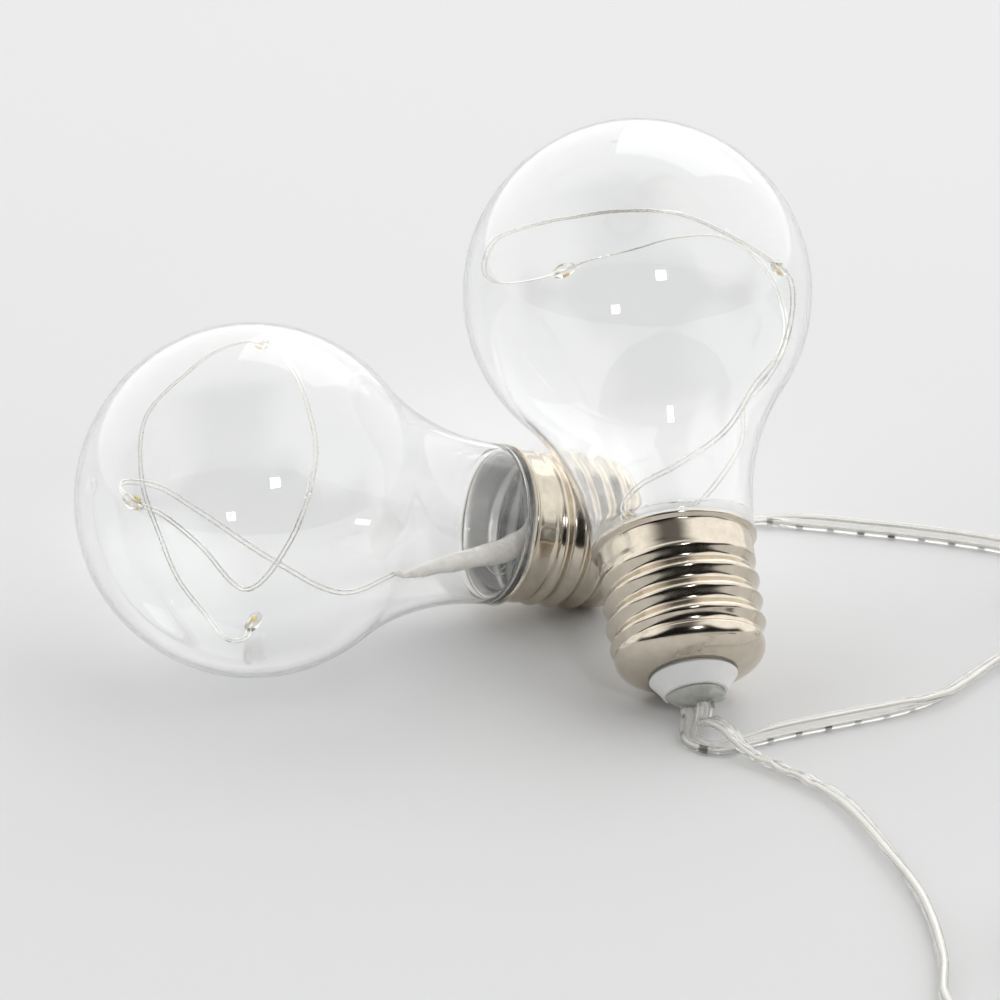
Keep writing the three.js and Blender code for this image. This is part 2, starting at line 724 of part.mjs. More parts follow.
const leadTailRoute = [
  turnedBy(leadEnds.end, -90),
  [leadEnds.end.x, leadEnds.end.y + 4, leadEnds.end.z - 0.3, -75],
  [leadEnds.end.x, leadEnds.end.y + 9, leadEnds.end.z - 1.8, -20],
  [connectorPlace[0], connectorPlace[1] - 3, connectorMiddle, 0],
  [connectorPlace[0], connectorPlace[1] - gap, connectorMiddle, 0],
];

function addCord(name, route, steps) {
  const curve = smoothCurve(route);
  const rings = Array.from({ length: steps + 1 }, (_, k) => {
    const run = curve.getUtoTmapping(k / steps) * (route.length - 1);
    const from = Math.min(route.length - 2, Math.floor(run));
    const share = THREE.MathUtils.smoothstep(run - from, 0, 1);
    const degrees = THREE.MathUtils.lerp(route[from][3], route[from + 1][3], share);
    const place = curve.getPointAt(k / steps);
    const along = curve.getTangentAt(k / steps);
    const across = new THREE.Vector3(along.y, -along.x, 0).normalize();
    across.applyAxisAngle(along, THREE.MathUtils.degToRad(degrees));
    const over = along.clone().cross(across);
    return leadSection().map(([x, y]) => place.clone().addScaledVector(across, x).addScaledVector(over, y));
  });
  piece(fairyLights, name, skinned(rings), materials.lead);
}

function addCoil(name, coil, tieAngle) {
  const rings = coilRings(coil);
  piece(fairyLights, `${name}_coil`, skinned(rings), materials.lead);
  piece(fairyLights, `${name}_tie`, coilTie(coil, tieAngle), materials.tie);
  console.log(`${name}_coil: least gap to itself ${leastGap(rings).toFixed(2)} mm`);
}

addCord("link_back", linkBackRoute, 18);
addCoil("link", linkCoil, 0);
addCord("link_front", linkFrontRoute, 22);
addCord("lead_front", leadRoute, 28);
addCoil("lead", leadCoil, Math.PI);
addCord("lead_tail", leadTailRoute, 6);

// Connector: a flat two-pole socket, with a boot behind it

function connectorOutline() {
  const [wide, high, corner] = [plugWidth / 2, plugHeight / 2, bodyCorner];
  const shape = new THREE.Shape();
  shape.moveTo(-wide + corner, -high);
  shape.lineTo(wide - corner, -high);
  shape.absarc(wide - corner, -high + corner, corner, -Math.PI / 2, 0);
  shape.absarc(wide - corner, high - corner, corner, 0, Math.PI / 2);
  shape.absarc(-wide + corner, high - corner, corner, Math.PI / 2, Math.PI);
  shape.absarc(-wide + corner, -high + corner, corner, Math.PI, 1.5 * Math.PI);
  for (const side of [-0.5, 0.5]) {
    shape.holes.push(new THREE.Path().absarc(side * socketSpacing, 0, socketRadius, 0, 2 * Math.PI, true));
  }
  return shape;
}

function addConnector() {
  const connector = new THREE.Group();
  connector.position.set(...connectorPlace, connectorMiddle);
  connector.rotation.x = -Math.PI / 2;
  fairyLights.add(connector);
  const solid = { depth: bodyLength, bevelEnabled: false, curveSegments: 4 };
  const body = new THREE.ExtrudeGeometry(connectorOutline(), solid);
  piece(connector, "connector_body", body, materials.connector).position.z = bootLength + gap;
  const bootAxis = new THREE.LineCurve3(new THREE.Vector3(), new THREE.Vector3(0, 0, bootLength));
  const front = [plugHeight / 2 - 0.4, plugWidth / 2 - 0.6];
  const boot = skinned(
    ringsAlong(bootAxis, 4 * bootRibs, smallSteps, (t) => {
      const rib = 0.25 * Math.cos(2 * Math.PI * bootRibs * t) - 0.25;
      return [0, 1].map((k) => THREE.MathUtils.lerp(bootBack[k], front[k], t) + rib);
    }),
  );
  piece(connector, "connector_boot", boot, materials.connector);
  for (const [number, side] of [[1, -0.5], [2, 0.5]]) {
    const start = bootLength + 2 * gap;
    const end = bootLength + gap + bodyLength - contactRecess;
    const profile = [[contactBore, start], [contactRadius, start], [contactRadius, end], [contactBore, end]];
    const tube = turned([...profile, profile[0]], 10);
    const contact = piece(connector, `connector_contact_${number}`, tube, materials.contact);
    contact.position.x = side * socketSpacing;
  }
}

addConnector();

console.log(`leaning lamp: ${THREE.MathUtils.radToDeg(tiltB).toFixed(2)} degrees`);

export default fairyLights;
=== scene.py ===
import json
import math
import bpy
from mathutils import Matrix, Vector, noise

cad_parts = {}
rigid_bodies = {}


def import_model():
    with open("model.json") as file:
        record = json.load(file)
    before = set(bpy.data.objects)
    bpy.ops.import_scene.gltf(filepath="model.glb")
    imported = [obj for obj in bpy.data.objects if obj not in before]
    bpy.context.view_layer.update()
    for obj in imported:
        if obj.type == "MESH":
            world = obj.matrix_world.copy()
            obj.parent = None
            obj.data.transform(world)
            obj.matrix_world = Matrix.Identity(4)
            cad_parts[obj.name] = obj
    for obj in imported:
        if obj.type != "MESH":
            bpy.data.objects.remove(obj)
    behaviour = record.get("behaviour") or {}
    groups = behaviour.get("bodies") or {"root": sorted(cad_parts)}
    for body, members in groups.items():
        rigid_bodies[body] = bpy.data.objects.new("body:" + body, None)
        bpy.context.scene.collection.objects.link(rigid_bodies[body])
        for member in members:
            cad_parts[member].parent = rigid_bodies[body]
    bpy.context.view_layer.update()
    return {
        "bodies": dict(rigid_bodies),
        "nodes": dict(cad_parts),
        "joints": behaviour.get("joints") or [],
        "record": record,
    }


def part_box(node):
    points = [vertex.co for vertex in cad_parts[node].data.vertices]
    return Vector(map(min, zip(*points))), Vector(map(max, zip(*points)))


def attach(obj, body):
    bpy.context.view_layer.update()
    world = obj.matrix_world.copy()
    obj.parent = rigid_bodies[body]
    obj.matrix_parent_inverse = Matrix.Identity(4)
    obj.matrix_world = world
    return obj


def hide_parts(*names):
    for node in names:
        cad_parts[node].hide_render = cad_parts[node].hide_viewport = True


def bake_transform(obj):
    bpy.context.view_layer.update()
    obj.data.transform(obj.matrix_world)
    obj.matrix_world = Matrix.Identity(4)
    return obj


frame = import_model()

mm = 0.001
up = Vector((0, 0, 1))


def newObject(name, mesh, body, replaced, finish, smooth=True):
    piece = bpy.data.objects.new(name, mesh)
    bpy.context.scene.collection.objects.link(piece)
    mesh.materials.append(materials[finish])
    if smooth:
        mesh.shade_smooth()
    if body:
        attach(piece, body)
    if replaced:
        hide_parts(*replaced)
    return piece


def meshFrom(name, points, faces):
    mesh = bpy.data.meshes.new(name)
    mesh.from_pydata([tuple(Vector(p) * mm) for p in points], [], faces)
    mesh.validate()
    mesh.update()
    return mesh


def lerp(a, b, t):
    return a + (b - a) * t


def smoothstep(x, low, high):
    t = min(1, max(0, (x - low) / (high - low)))
    return t * t * (3 - 2 * t)


# a smooth centripetal curve through points, as new points at an even spacing
def smoothPath(points, spacing):
    pts = [Vector(p) for p in points]
    ends = [2 * pts[0] - pts[1]] + pts + [2 * pts[-1] - pts[-2]]
    fine = []
    for i in range(1, len(ends) - 2):
        p0, p1, p2, p3 = ends[i - 1 : i + 3]
        d0, d1, d2 = [max(1e-4, (b - a).length) ** 0.5 for a, b in ((p0, p1), (p1, p2), (p2, p3))]
        m1 = ((p1 - p0) / d0 - (p2 - p0) / (d0 + d1) + (p2 - p1) / d1) * d1
        m2 = ((p2 - p1) / d1 - (p3 - p1) / (d1 + d2) + (p3 - p2) / d2) * d1
        for k in range(24):
            t = k / 24
            fine.append(
                (2 * p1 - 2 * p2 + m1 + m2) * t**3 + (-3 * p1 + 3 * p2 - 2 * m1 - m2) * t**2 + m1 * t + p1
            )
    fine.append(pts[-1])
    return evenly(fine, spacing)


# how far along a path each of its points lies
def distances(path):
    run = [0.0]
    for a, b in zip(path, path[1:]):
        run.append(run[-1] + (b - a).length)
    return run


def evenly(fine, spacing):
    run = distances(fine)
    count = max(2, round(run[-1] / spacing))
    out, j = [], 0
    for k in range(count + 1):
        want = run[-1] * k / count
        while j < len(run) - 2 and run[j + 1] < want:
            j += 1
        out.append(fine[j].lerp(fine[j + 1], (want - run[j]) / max(1e-9, run[j + 1] - run[j])))
    return out


def tangents(path):
    last = len(path) - 1
    return [(path[min(last, i + 1)] - path[max(0, i - 1)]).normalized() for i in range(last + 1)]


# turning frames that don't twist, as (across, other) for each point
def steadyFrames(path, first=None):
    along = tangents(path)
    across = (first or along[0].orthogonal()).normalized()
    frames = []
    for t in along:
        across = (across - t * across.dot(t)).normalized()
        frames.append((across, t.cross(across)))
    return frames


# a closed tube through rings of points, with a map that runs in millimetres along it
def tubeMesh(name, rings, runs=None):
    sides = len(rings[0])
    points = [p for ring in rings for p in ring]
    faces = []
    for k in range(len(rings) - 1):
        for i in range(sides):
            a, b = k * sides + i, k * sides + (i + 1) % sides
            faces.append((a, b, b + sides, a + sides))
    faces.append(tuple(range(sides))[::-1])
    faces.append(tuple(range(len(points) - sides, len(points))))
    mesh = meshFrom(name, points, faces)
    if runs:
        layer = mesh.uv_layers.new(name="along")
        for poly in mesh.polygons:
            cols = [mesh.loops[loop].vertex_index % sides for loop in poly.loop_indices]
            for loop, col in zip(poly.loop_indices, cols):
                row = mesh.loops[loop].vertex_index // sides
                v = 1.0 if col == 0 and sides - 1 in cols else col / sides
                layer.data[loop].uv = (runs[row], v)
    return mesh


def circle(sides, radius=1.0):
    return [(radius * math.cos(a), radius * math.sin(a)) for a in [2 * math.pi * i / sides for i in range(sides)]]


# an outline carried along a path, as one ring of points for each place
def sweep(path, frames, outline):
    return [[p + a * x + b * y for x, y in outline] for p, (a, b) in zip(path, frames)]


def roundTube(name, path, radiusAt, sides=8):
    rings = []
    for k, (p, (a, b)) in enumerate(zip(path, steadyFrames(path))):
        r = radiusAt(k / (len(path) - 1))
        rings.append([p + (a * x + b * y) * r for x, y in circle(sides)])
    return tubeMesh(name, rings, distances(path))


# a turned skin of (radius, height) rows about Z; a radius of 0 is a pole, and otherwise the rows close on the first
def turnedMesh(name, rows, steps, place, radiusAt=None, heightAt=None):
    points, rings, faces = [], [], []
    for i, (r, z) in enumerate(rows):
        if r == 0:
            rings.append([len(points)])
            points.append(place @ Vector((0, 0, z)))
            continue
        rings.append(list(range(len(points), len(points) + steps)))
        for k in range(steps):
            angle = 2 * math.pi * k / steps
            radius = radiusAt(i, r, z, angle) if radiusAt else r
            height = heightAt(i, r, z, angle) if heightAt else z
            points.append(place @ Vector((radius * math.cos(angle), radius * math.sin(angle), height)))
    closed = rows[0][0] != 0 or rows[-1][0] != 0
    pairs = list(zip(rings, rings[1:])) + ([(rings[-1], rings[0])] if closed else [])
    for low, high in pairs:
        if len(low) == 1 and len(high) == 1:
            continue
        for k in range(steps):
            n = (k + 1) % steps
            if len(low) == 1:
                faces.append((low[0], high[n], high[k]))
            elif len(high) == 1:
                faces.append((low[k], low[n], high[0]))
            else:
                faces.append((low[k], low[n], high[n], high[k]))
    mesh = meshFrom(name, points, faces)
    faceOutwards(mesh)
    return mesh


def faceOutwards(mesh):
    volume = 0
    for poly in mesh.polygons:
        corners = [mesh.vertices[i].co for i in poly.vertices]
        for a, b in zip(corners[1:], corners[2:]):
            volume += corners[0].dot(a.cross(b))
    if volume < 0:
        mesh.flip_normals()


# (radius, height) rows along an arc, with angles from straight up
def arcRows(centre, reach, start, end, count):
    rows = []
    for i in range(count + 1):
        a = lerp(start, end, i / count)
        rows.append((centre[0] + reach * math.sin(a), centre[1] + reach * math.cos(a)))
    return rows


def evenRows(start, end, step):
    count = max(1, round(abs(end - start) / step))
    return [lerp(start, end, i / count) for i in range(count + 1)]


class Shader:
    # a short way to add nodes and link them
    def __init__(self, name):
        self.material = bpy.data.materials.new(name)
        self.material.use_nodes = True
        self.tree = self.material.node_tree
        self.surface = self.tree.nodes["Principled BSDF"]

    def node(self, kind, **values):
        return addNode(self.tree, kind, **values)

    def link(self, source, target):
        self.tree.links.new(source, target)

    def set(self, **values):
        for name, value in values.items():
            self.surface.inputs[socketNames[name]].default_value = value
        return self


socketNames = {
    "rough": "Roughness", "metal": "Metallic", "ior": "IOR", "clear": "Transmission Weight", "coat": "Coat Weight",
    "subsurface": "Subsurface Weight", "subsurfaceScale": "Subsurface Scale",
}


def addNode(tree, kind, **values):
    node = tree.nodes.new(kind)
    for name, value in values.items():
        if name in node.inputs:
            node.inputs[name].default_value = value
        else:
            setattr(node, name, value)
    return node


def newGroup(name, inputs, outputs):
    tree = bpy.data.node_groups.new(name, "ShaderNodeTree")
    for label, kind, value in inputs:
        tree.interface.new_socket(label, in_out="INPUT", socket_type=kind).default_value = value
    for label, kind in outputs:
        tree.interface.new_socket(label, in_out="OUTPUT", socket_type=kind)
    return tree, tree.nodes.new("NodeGroupInput"), tree.nodes.new("NodeGroupOutput")


def useGroup(shader, tree, **values):
    node = shader.node("ShaderNodeGroup")
    node.node_tree = tree
    for label, value in values.items():
        node.inputs[label].default_value = value
    return node


# gives a socket a fixed value, or another node's output
def feed(tree, value, socket):
    if isinstance(value, bpy.types.NodeSocket):
        tree.links.new(value, socket)
    else:
        socket.default_value = value


# mixes two colours, or two numbers, by a share
def mixed(tree, share, first, second, kind="RGBA"):
    node = addNode(tree, "ShaderNodeMix", data_type=kind)
    spots = (0, 6, 7, 2) if kind == "RGBA" else (0, 2, 3, 0)
    for value, spot in zip((share, first, second), spots):
        feed(tree, value, node.inputs[spot])
    return node.outputs[spots[3]]


def reckon(tree, operation, *values):
    node = addNode(tree, "ShaderNodeMath", operation=operation)
    for value, socket in zip(values, node.inputs):
        feed(tree, value, socket)
    return node.outputs[0]


# from one end to the other as a value goes from low to high
def ranged(tree, value, low, high, kind="LINEAR", ends=(0.0, 1.0)):
    node = addNode(tree, "ShaderNodeMapRange", interpolation_type=kind)
    for label, given in zip(("Value", "From Min", "From Max", "To Min", "To Max"), (value, low, high, *ends)):
        feed(tree, given, node.inputs[label])
    return node.outputs["Result"]


# soft blotches: a colour that drifts between two, a roughness, and a low relief
def blotchesGroup():
    number, color, vector = "NodeSocketFloat", "NodeSocketColor", "NodeSocketVector"
    tree, given, result = newGroup(
        "blotches",
        [("Size", number, 400.0), ("Light", color, (1, 1, 1, 1)), ("Dark", color, (0.8, 0.8, 0.8, 1)),
         ("Smooth", number, 0.2), ("Dull", number, 0.4),
         ("Relief", number, 0.1), ("Depth", number, 0.0002)],
        [("Color", color), ("Roughness", number), ("Normal", vector)],
    )
    link = tree.links.new
    where = addNode(tree, "ShaderNodeTexCoord")
    spots = addNode(tree, "ShaderNodeTexNoise", Detail=4.0, Roughness=0.6)
    link(where.outputs["Object"], spots.inputs["Vector"])
    link(given.outputs["Size"], spots.inputs["Scale"])
    share = ranged(tree, spots.outputs["Fac"], 0.3, 0.7)
    bump = addNode(tree, "ShaderNodeBump")
    link(given.outputs["Relief"], bump.inputs["Strength"])
    link(given.outputs["Depth"], bump.inputs["Distance"])
    link(spots.outputs["Fac"], bump.inputs["Height"])
    link(mixed(tree, share, given.outputs["Light"], given.outputs["Dark"]), result.inputs["Color"])
    link(mixed(tree, share, given.outputs["Smooth"], given.outputs["Dull"], "FLOAT"), result.inputs["Roughness"])
    link(bump.outputs["Normal"], result.inputs["Normal"])
    return tree


blotches = blotchesGroup()


# clear pieces let part of the lamps' light through, in place of a hard shadow
def letLampsThrough(finish, share):
    path = finish.node("ShaderNodeLightPath")
    through = finish.node("ShaderNodeBsdfTransparent")
    blend = finish.node("ShaderNodeMixShader")
    finish.link(reckon(finish.tree, "MULTIPLY", path.outputs["Is Shadow Ray"], share), blend.inputs[0])
    finish.link(finish.surface.outputs[0], blend.inputs[1])
    finish.link(through.outputs[0], blend.inputs[2])
    finish.link(blend.outputs[0], finish.tree.nodes["Material Output"].inputs["Surface"])


def blotchedFinish(name, light, dark, smooth, dull, size, relief=0.1, depth=0.0002, through=0.0, **fixed):
    finish = Shader(name)
    marks = useGroup(finish, blotches, Size=size, Light=(*light, 1), Dark=(*dark, 1), Smooth=smooth, Dull=dull,
                     Relief=relief, Depth=depth)
    for label, target in (("Color", "Base Color"), ("Roughness", "Roughness"), ("Normal", "Normal")):
        finish.link(marks.outputs[label], finish.surface.inputs[target])
    if through:
        letLampsThrough(finish, through)
    return finish.set(**fixed).material


# each drifts from light to dark and from smooth to dull in soft blotches; size is blotches to the metre
finishes = {
    "clearPlastic": {"light": (1, 1, 1), "dark": (0.985, 0.993, 0.993), "smooth": 0.0, "dull": 0.02, "size": 60,
                     "relief": 0.05, "depth": 0.0003, "through": 0.93, "clear": 0.965, "ior": 1.45},
    "nickel": {"light": (0.71, 0.64, 0.54), "dark": (0.62, 0.555, 0.46), "smooth": 0.11, "dull": 0.18, "size": 500,
               "relief": 0.06, "depth": 0.0001, "metal": 1.0},
    # paleNickel is the cap's own nickel painted paler, as a painted reflection of the bright room inside the cap's
    # mouth
    "paleNickel": {"light": (0.93, 0.92, 0.91), "dark": (0.86, 0.85, 0.83), "smooth": 0.42, "dull": 0.55,
                   "size": 500, "relief": 0.06, "depth": 0.0001, "metal": 1.0},
    "insulatorWhite": {"light": (0.97, 0.96, 0.96), "dark": (0.92, 0.92, 0.92), "smooth": 0.3, "dull": 0.45,
                       "size": 500, "coat": 0.2, "subsurface": 0.15, "subsurfaceScale": 0.001},
    "siliconeGrey": {"light": (0.7, 0.71, 0.66), "dark": (0.52, 0.54, 0.5), "smooth": 0.12, "dull": 0.35,
                     "size": 350, "relief": 0.5, "depth": 0.0004, "clear": 0.1, "ior": 1.41, "subsurface": 0.2,
                     "subsurfaceScale": 0.001},
    "hotGlue": {"light": (0.95, 0.94, 0.9), "dark": (0.9, 0.88, 0.82), "smooth": 0.2, "dull": 0.4, "size": 500,
                "relief": 0.3, "depth": 0.0004, "through": 0.5, "clear": 0.12, "ior": 1.47, "subsurface": 0.3,
                "subsurfaceScale": 0.002},
    "silverWire": {"light": (0.94, 0.925, 0.89), "dark": (0.8, 0.78, 0.74), "smooth": 0.2, "dull": 0.35,
                   "size": 1500, "metal": 1.0},
    "phosphor": {"light": (1.0, 0.78, 0.22), "dark": (0.95, 0.68, 0.14), "smooth": 0.45, "dull": 0.6, "size": 4000},
    "resin": {"light": (0.99, 0.98, 0.95), "dark": (0.97, 0.95, 0.9), "smooth": 0.0, "dull": 0.05, "size": 1500,
              "relief": 0.2, "depth": 0.0002, "through": 0.85, "clear": 1.0, "ior": 1.5},
    "tapeWhite": {"light": (0.94, 0.94, 0.93), "dark": (0.85, 0.85, 0.84), "smooth": 0.4, "dull": 0.55,
                  "size": 2500, "relief": 0.3},
    "mouldedBlack": {"light": (0.03, 0.03, 0.033), "dark": (0.02, 0.02, 0.022), "smooth": 0.4, "dull": 0.55,
                     "size": 2500, "relief": 0.3},
    "tinned": {"light": (0.8, 0.8, 0.79), "dark": (0.62, 0.62, 0.6), "smooth": 0.15, "dull": 0.3, "size": 1500,
               "metal": 1.0},
}
materials = {name: blotchedFinish(name, **values) for name, values in finishes.items()}
# groove is painted shade between the twisted strands, and ridge a painted highlight on their crests
strandLook = {"strands": 5.0, "twist": 0.85, "groove": (0.8, 0.785, 0.75), "ridge": (0.96, 0.945, 0.91)}


# strands twisted round each other: slanted bands along the map that a tube carries, painted darker in the grooves as
# shade and paler on the ridges as highlight
def strandsFinish():
    finish = Shader("strands")
    where = finish.node("ShaderNodeUVMap", uv_map="along")
    parts = finish.node("ShaderNodeSeparateXYZ")
    finish.link(where.outputs["UV"], parts.inputs["Vector"])
    tree = finish.tree
    around = reckon(tree, "MULTIPLY", parts.outputs["Y"], strandLook["strands"])
    turn = reckon(tree, "MULTIPLY_ADD", parts.outputs["X"], strandLook["twist"], around)
    share = ranged(tree, reckon(tree, "PINGPONG", turn, 0.5), 0.0, 0.5)
    # painted shade and highlight across each strand, from the dark groove to the pale ridge
    color = mixed(tree, share, (*strandLook["groove"], 1), (*strandLook["ridge"], 1))
    finish.link(color, finish.surface.inputs["Base Color"])
    bump = finish.node("ShaderNodeBump", Strength=0.25, Distance=0.00005)
    finish.link(share, bump.inputs["Height"])
    finish.link(bump.outputs["Normal"], finish.surface.inputs["Normal"])
    return finish.set(metal=0.8, rough=0.38).material


materials["strands"] = strandsFinish()


leadLook = {"markStep": 5.6, "markLength": 1.25, "markPlace": 0.23, "markReach": 0.13, "darkest": 0.02,
            "palest": 0.42}


# grey marks at an even step along one lobe of the lead, some of them paler
def markedLeadFinish():
    finish = Shader("markedLead")
    tree = finish.tree
    marks = useGroup(finish, blotches, Size=250.0, Light=(0.985, 0.98, 0.965, 1), Dark=(0.965, 0.96, 0.94, 1),
                     Smooth=0.03, Dull=0.12, Relief=0.12, Depth=0.0002)
    where = finish.node("ShaderNodeUVMap", uv_map="along")
    parts = finish.node("ShaderNodeSeparateXYZ")
    finish.link(where.outputs["UV"], parts.inputs["Vector"])
    step = reckon(tree, "WRAP", parts.outputs["X"], leadLook["markStep"], 0.0)
    isMark = reckon(tree, "LESS_THAN", step, leadLook["markLength"])
    onLobe = reckon(tree, "COMPARE", parts.outputs["Y"], leadLook["markPlace"], leadLook["markReach"])
    number = reckon(tree, "FLOOR", reckon(tree, "DIVIDE", parts.outputs["X"], leadLook["markStep"]))
    chance = finish.node("ShaderNodeTexWhiteNoise", noise_dimensions="1D")
    finish.link(number, chance.inputs["W"])
    greys = [(leadLook[name],) * 3 + (1,) for name in ("darkest", "palest")]
    ink = mixed(tree, chance.outputs["Value"], *greys)
    color = mixed(tree, reckon(tree, "MULTIPLY", isMark, onLobe), marks.outputs["Color"], ink)
    finish.link(color, finish.surface.inputs["Base Color"])
    finish.link(marks.outputs["Roughness"], finish.surface.inputs["Roughness"])
    finish.link(marks.outputs["Normal"], finish.surface.inputs["Normal"])
    letLampsThrough(finish, 0.85)
    return finish.set(clear=0.8, ior=1.45).material


materials["markedLead"] = markedLeadFinish()
print("materials made")


# camera

cameraView = {"target": (9.091, 60.132, 0), "elevation": 21.84, "distance": 1023.41, "lens": 201.3, "roll": 0.06}


def addCamera():
    data = bpy.data.cameras.new("camera")
    data.lens = cameraView["lens"]
    data.sensor_width = 36
    data.clip_start = 0.05
    camera = bpy.data.objects.new("camera", data)
    bpy.context.scene.collection.objects.link(camera)
    tilt = math.radians(cameraView["elevation"])
    ahead = Vector((0, math.cos(tilt), -math.sin(tilt)))
    camera.location = (Vector(cameraView["target"]) - ahead * cameraView["distance"]) * mm
    turn = ahead.to_track_quat("-Z", "Y").to_matrix() @ Matrix.Rotation(math.radians(cameraView["roll"]), 3, "Z")
    camera.rotation_euler = turn.to_euler()
    bpy.context.scene.camera = camera


addCamera()


# the two lamps' places: Z runs from the cap's tip to the dome, from the joints of the frame

lamp = {"tipToPivot": 27.5, "globeCentre": 75.0, "globeRadius": 30.0, "wall": 0.7, "neck": 13.95, "flareLength": 46.4,
        "capRim": 27.5, "gap": 0.3, "plugLength": 13.0, "plugWall": 0.9, "plugEdge": 0.1, "rowStep": 0.3,
        "pipRadius": 1.9, "pipHeight": 0.14}


def lampPlace(letter):
    joint = next(j for j in frame["joints"] if j["name"] == f"lamp_{letter}_screw")
    axis = Vector(joint["axis"]).normalized()
    tip = Vector(joint["pos_m"]) / mm - axis * lamp["tipToPivot"]
    across = Vector((axis.y, -axis.x, 0)).normalized()
    turn = Matrix((across, axis.cross(across), axis)).transposed()
    return Matrix.Translation(tip) @ turn.to_4x4()


places = {"a": lampPlace("a"), "b": lampPlace("b")}


def towards(letter, direction):
    return (places[letter].to_3x3() @ Vector(direction)).normalized()


# the free leads come first: each is one smooth line from its exit to its end

lead = {"width": 3.0, "thick": 1.5, "waist": 0.95, "core": 0.23, "turnPitch": 1.95, "layerPitch": 3.45,
        "tieThick": 0.5, "exit": 2.05}
linkCoil = {"centre": (119.5, 10), "inner": 15.5, "turns": 2.5, "start": 90, "way": -1}
leadCoil = {"centre": (114.5, -125), "inner": 13.5, "turns": 9.2, "start": -72, "way": 1}


def coilPoint(coil, share):
    turn = (share - 0.5) * coil["turns"]
    angle = math.radians(coil["start"]) + coil["way"] * share * coil["turns"] * 2 * math.pi
    radius = coil["inner"] + lead["turnPitch"] * abs(turn)
    height = lead["tieThick"] + lamp["gap"] + lead["width"] / 2 + lead["layerPitch"] * smoothstep(turn, -0.25, 0.25)
    outward = Vector((math.cos(angle), math.sin(angle), 0))
    ahead = Vector((-outward.y, outward.x, 0)) * coil["way"]
    return Vector((*coil["centre"], height)) + outward * radius, ahead


def coilLine(coil):
    steps = round(60 * coil["turns"])
    return [coilPoint(coil, k / steps)[0] for k in range(steps + 1)]


def coilEnd(coil, share, ahead):
    place, along = coilPoint(coil, share)
    return place + along * ahead * (lead["width"] + lamp["gap"])


def tipPoint(letter, x, y, out=0.0):
    return places[letter] @ Vector((x, y, -lead["exit"] - out))


# a route's points: place, and by how many degrees the flat lead is turned on edge there
def turnedBy(place, degrees):
    return (*place, degrees)


linkBackRoute = [
    turnedBy(tipPoint("a", 0, 0), 0), turnedBy(tipPoint("a", 0, 0, 5), 0), (43, 23.5, 3.4, 0), (45, 33, 1.2, 0),
    (47.5, 43, 0.95, 0), (55.4, 47.6, 1.1, -10), (66.2, 45.6, 1.55, 60), (74.1, 43.4, 1.6, 65), (82.8, 41, 1.6, 65),
    (93.7, 37.2, 1.6, 65), (104, 32, 1.75, 70), (111, 29, 2.2, 80), turnedBy(coilEnd(linkCoil, 0, -1), 90),
]
linkFrontRoute = [
    turnedBy(tipPoint("b", -1.3, 0.9), 0), turnedBy(tipPoint("b", -1.3, 0.9, 1.6), 0), (40.3, -44.6, 1, 0),
    (40.9, -49, 0.9, 0), (44.4, -51.8, 0.95, 8), (49, -49.8, 1.15, 22), (55.1, -46.5, 1.6, 65),
    (66.8, -40.8, 1.6, 65), (74.5, -37.1, 1.6, 85), (80.6, -33.4, 1.5, 125), (84.4, -29.2, 1.2, 150),
    (87.6, -24.6, 1.15, 155), (94.4, -15.2, 1.5, 150), (103, -9.6, 3.6, 120), (111, -8.1, 5.4, 100),
    turnedBy(coilEnd(linkCoil, 1, 1), 90),
]
leadRoute = [
    turnedBy(tipPoint("b", 1.1, -1.1), 0), turnedBy(tipPoint("b", 1.1, -1.1, 1.2), 0), (43, -44, 2.2, 0),
    (44.2, -46.6, 3.5, 0), (46.4, -50.2, 3.7, -8), (49.2, -54, 2, -20), (53, -58.2, 1.3, -28), (58, -63.3, 1.2, -22),
    (63.9, -71.6, 1.15, -20), (69.5, -88.1, 1.35, -40), (74.8, -111.2, 1.6, -80), (76.2, -130.8, 1.6, -90),
    (75.6, -143.8, 1.6, -90), (78.4, -152, 1.6, -90), (86, -156.6, 1.6, -90), (96, -154.6, 1.6, -90),
    (106, -150.6, 1.9, -90), turnedBy(coilEnd(leadCoil, 0, -1), -90),
]
tailStart = coilEnd(leadCoil, 1, 1)
leadTailRoute = [
    turnedBy(tailStart, -90), turnedBy(tailStart + Vector((0, 4, -0.3)), -75),
    turnedBy(tailStart + Vector((0, 9, -1.8)), -20), (tailStart.x, -109, 3.25, 0), (tailStart.x, -106.3, 3.25, 0),
]


# the lead's outline: two round lobes with a waist between
def lobes(width, thick, waist):
    r = thick / 2
    angles = [math.radians(degrees) for degrees in range(-115, 116, 23)]
    right = [(width / 2 - r + r * math.cos(a), r * math.sin(a)) for a in angles]
    left = [(-x, -y) for x, y in right]
    return right + [(0, waist / 2)] + left + [(0, -waist / 2)]


# a flat lead along a path, turned on edge by so many degrees at each point
def leadFrames(path, turns):
    frames = []
    for along, degrees in zip(tangents(path), turns):
        turn = Matrix.Rotation(math.radians(degrees), 3, along)
        across = turn @ along.cross(up).normalized()
        frames.append((across, along.cross(across)))
    return frames


# the turns at a path's points, eased between the points of the routes that it follows
def turnsAlong(path, marks):
    spots = [min(range(len(path)), key=lambda k: (path[k] - Vector(mark[:3])).length) for mark in marks]
    turns, i = [], 0
    for k in range(len(path)):
        while i < len(spots) - 2 and k >= spots[i + 1]:
            i += 1
        turns.append(lerp(marks[i][3], marks[i + 1][3], smoothstep(k, spots[i], max(spots[i] + 1, spots[i + 1]))))
    return turns


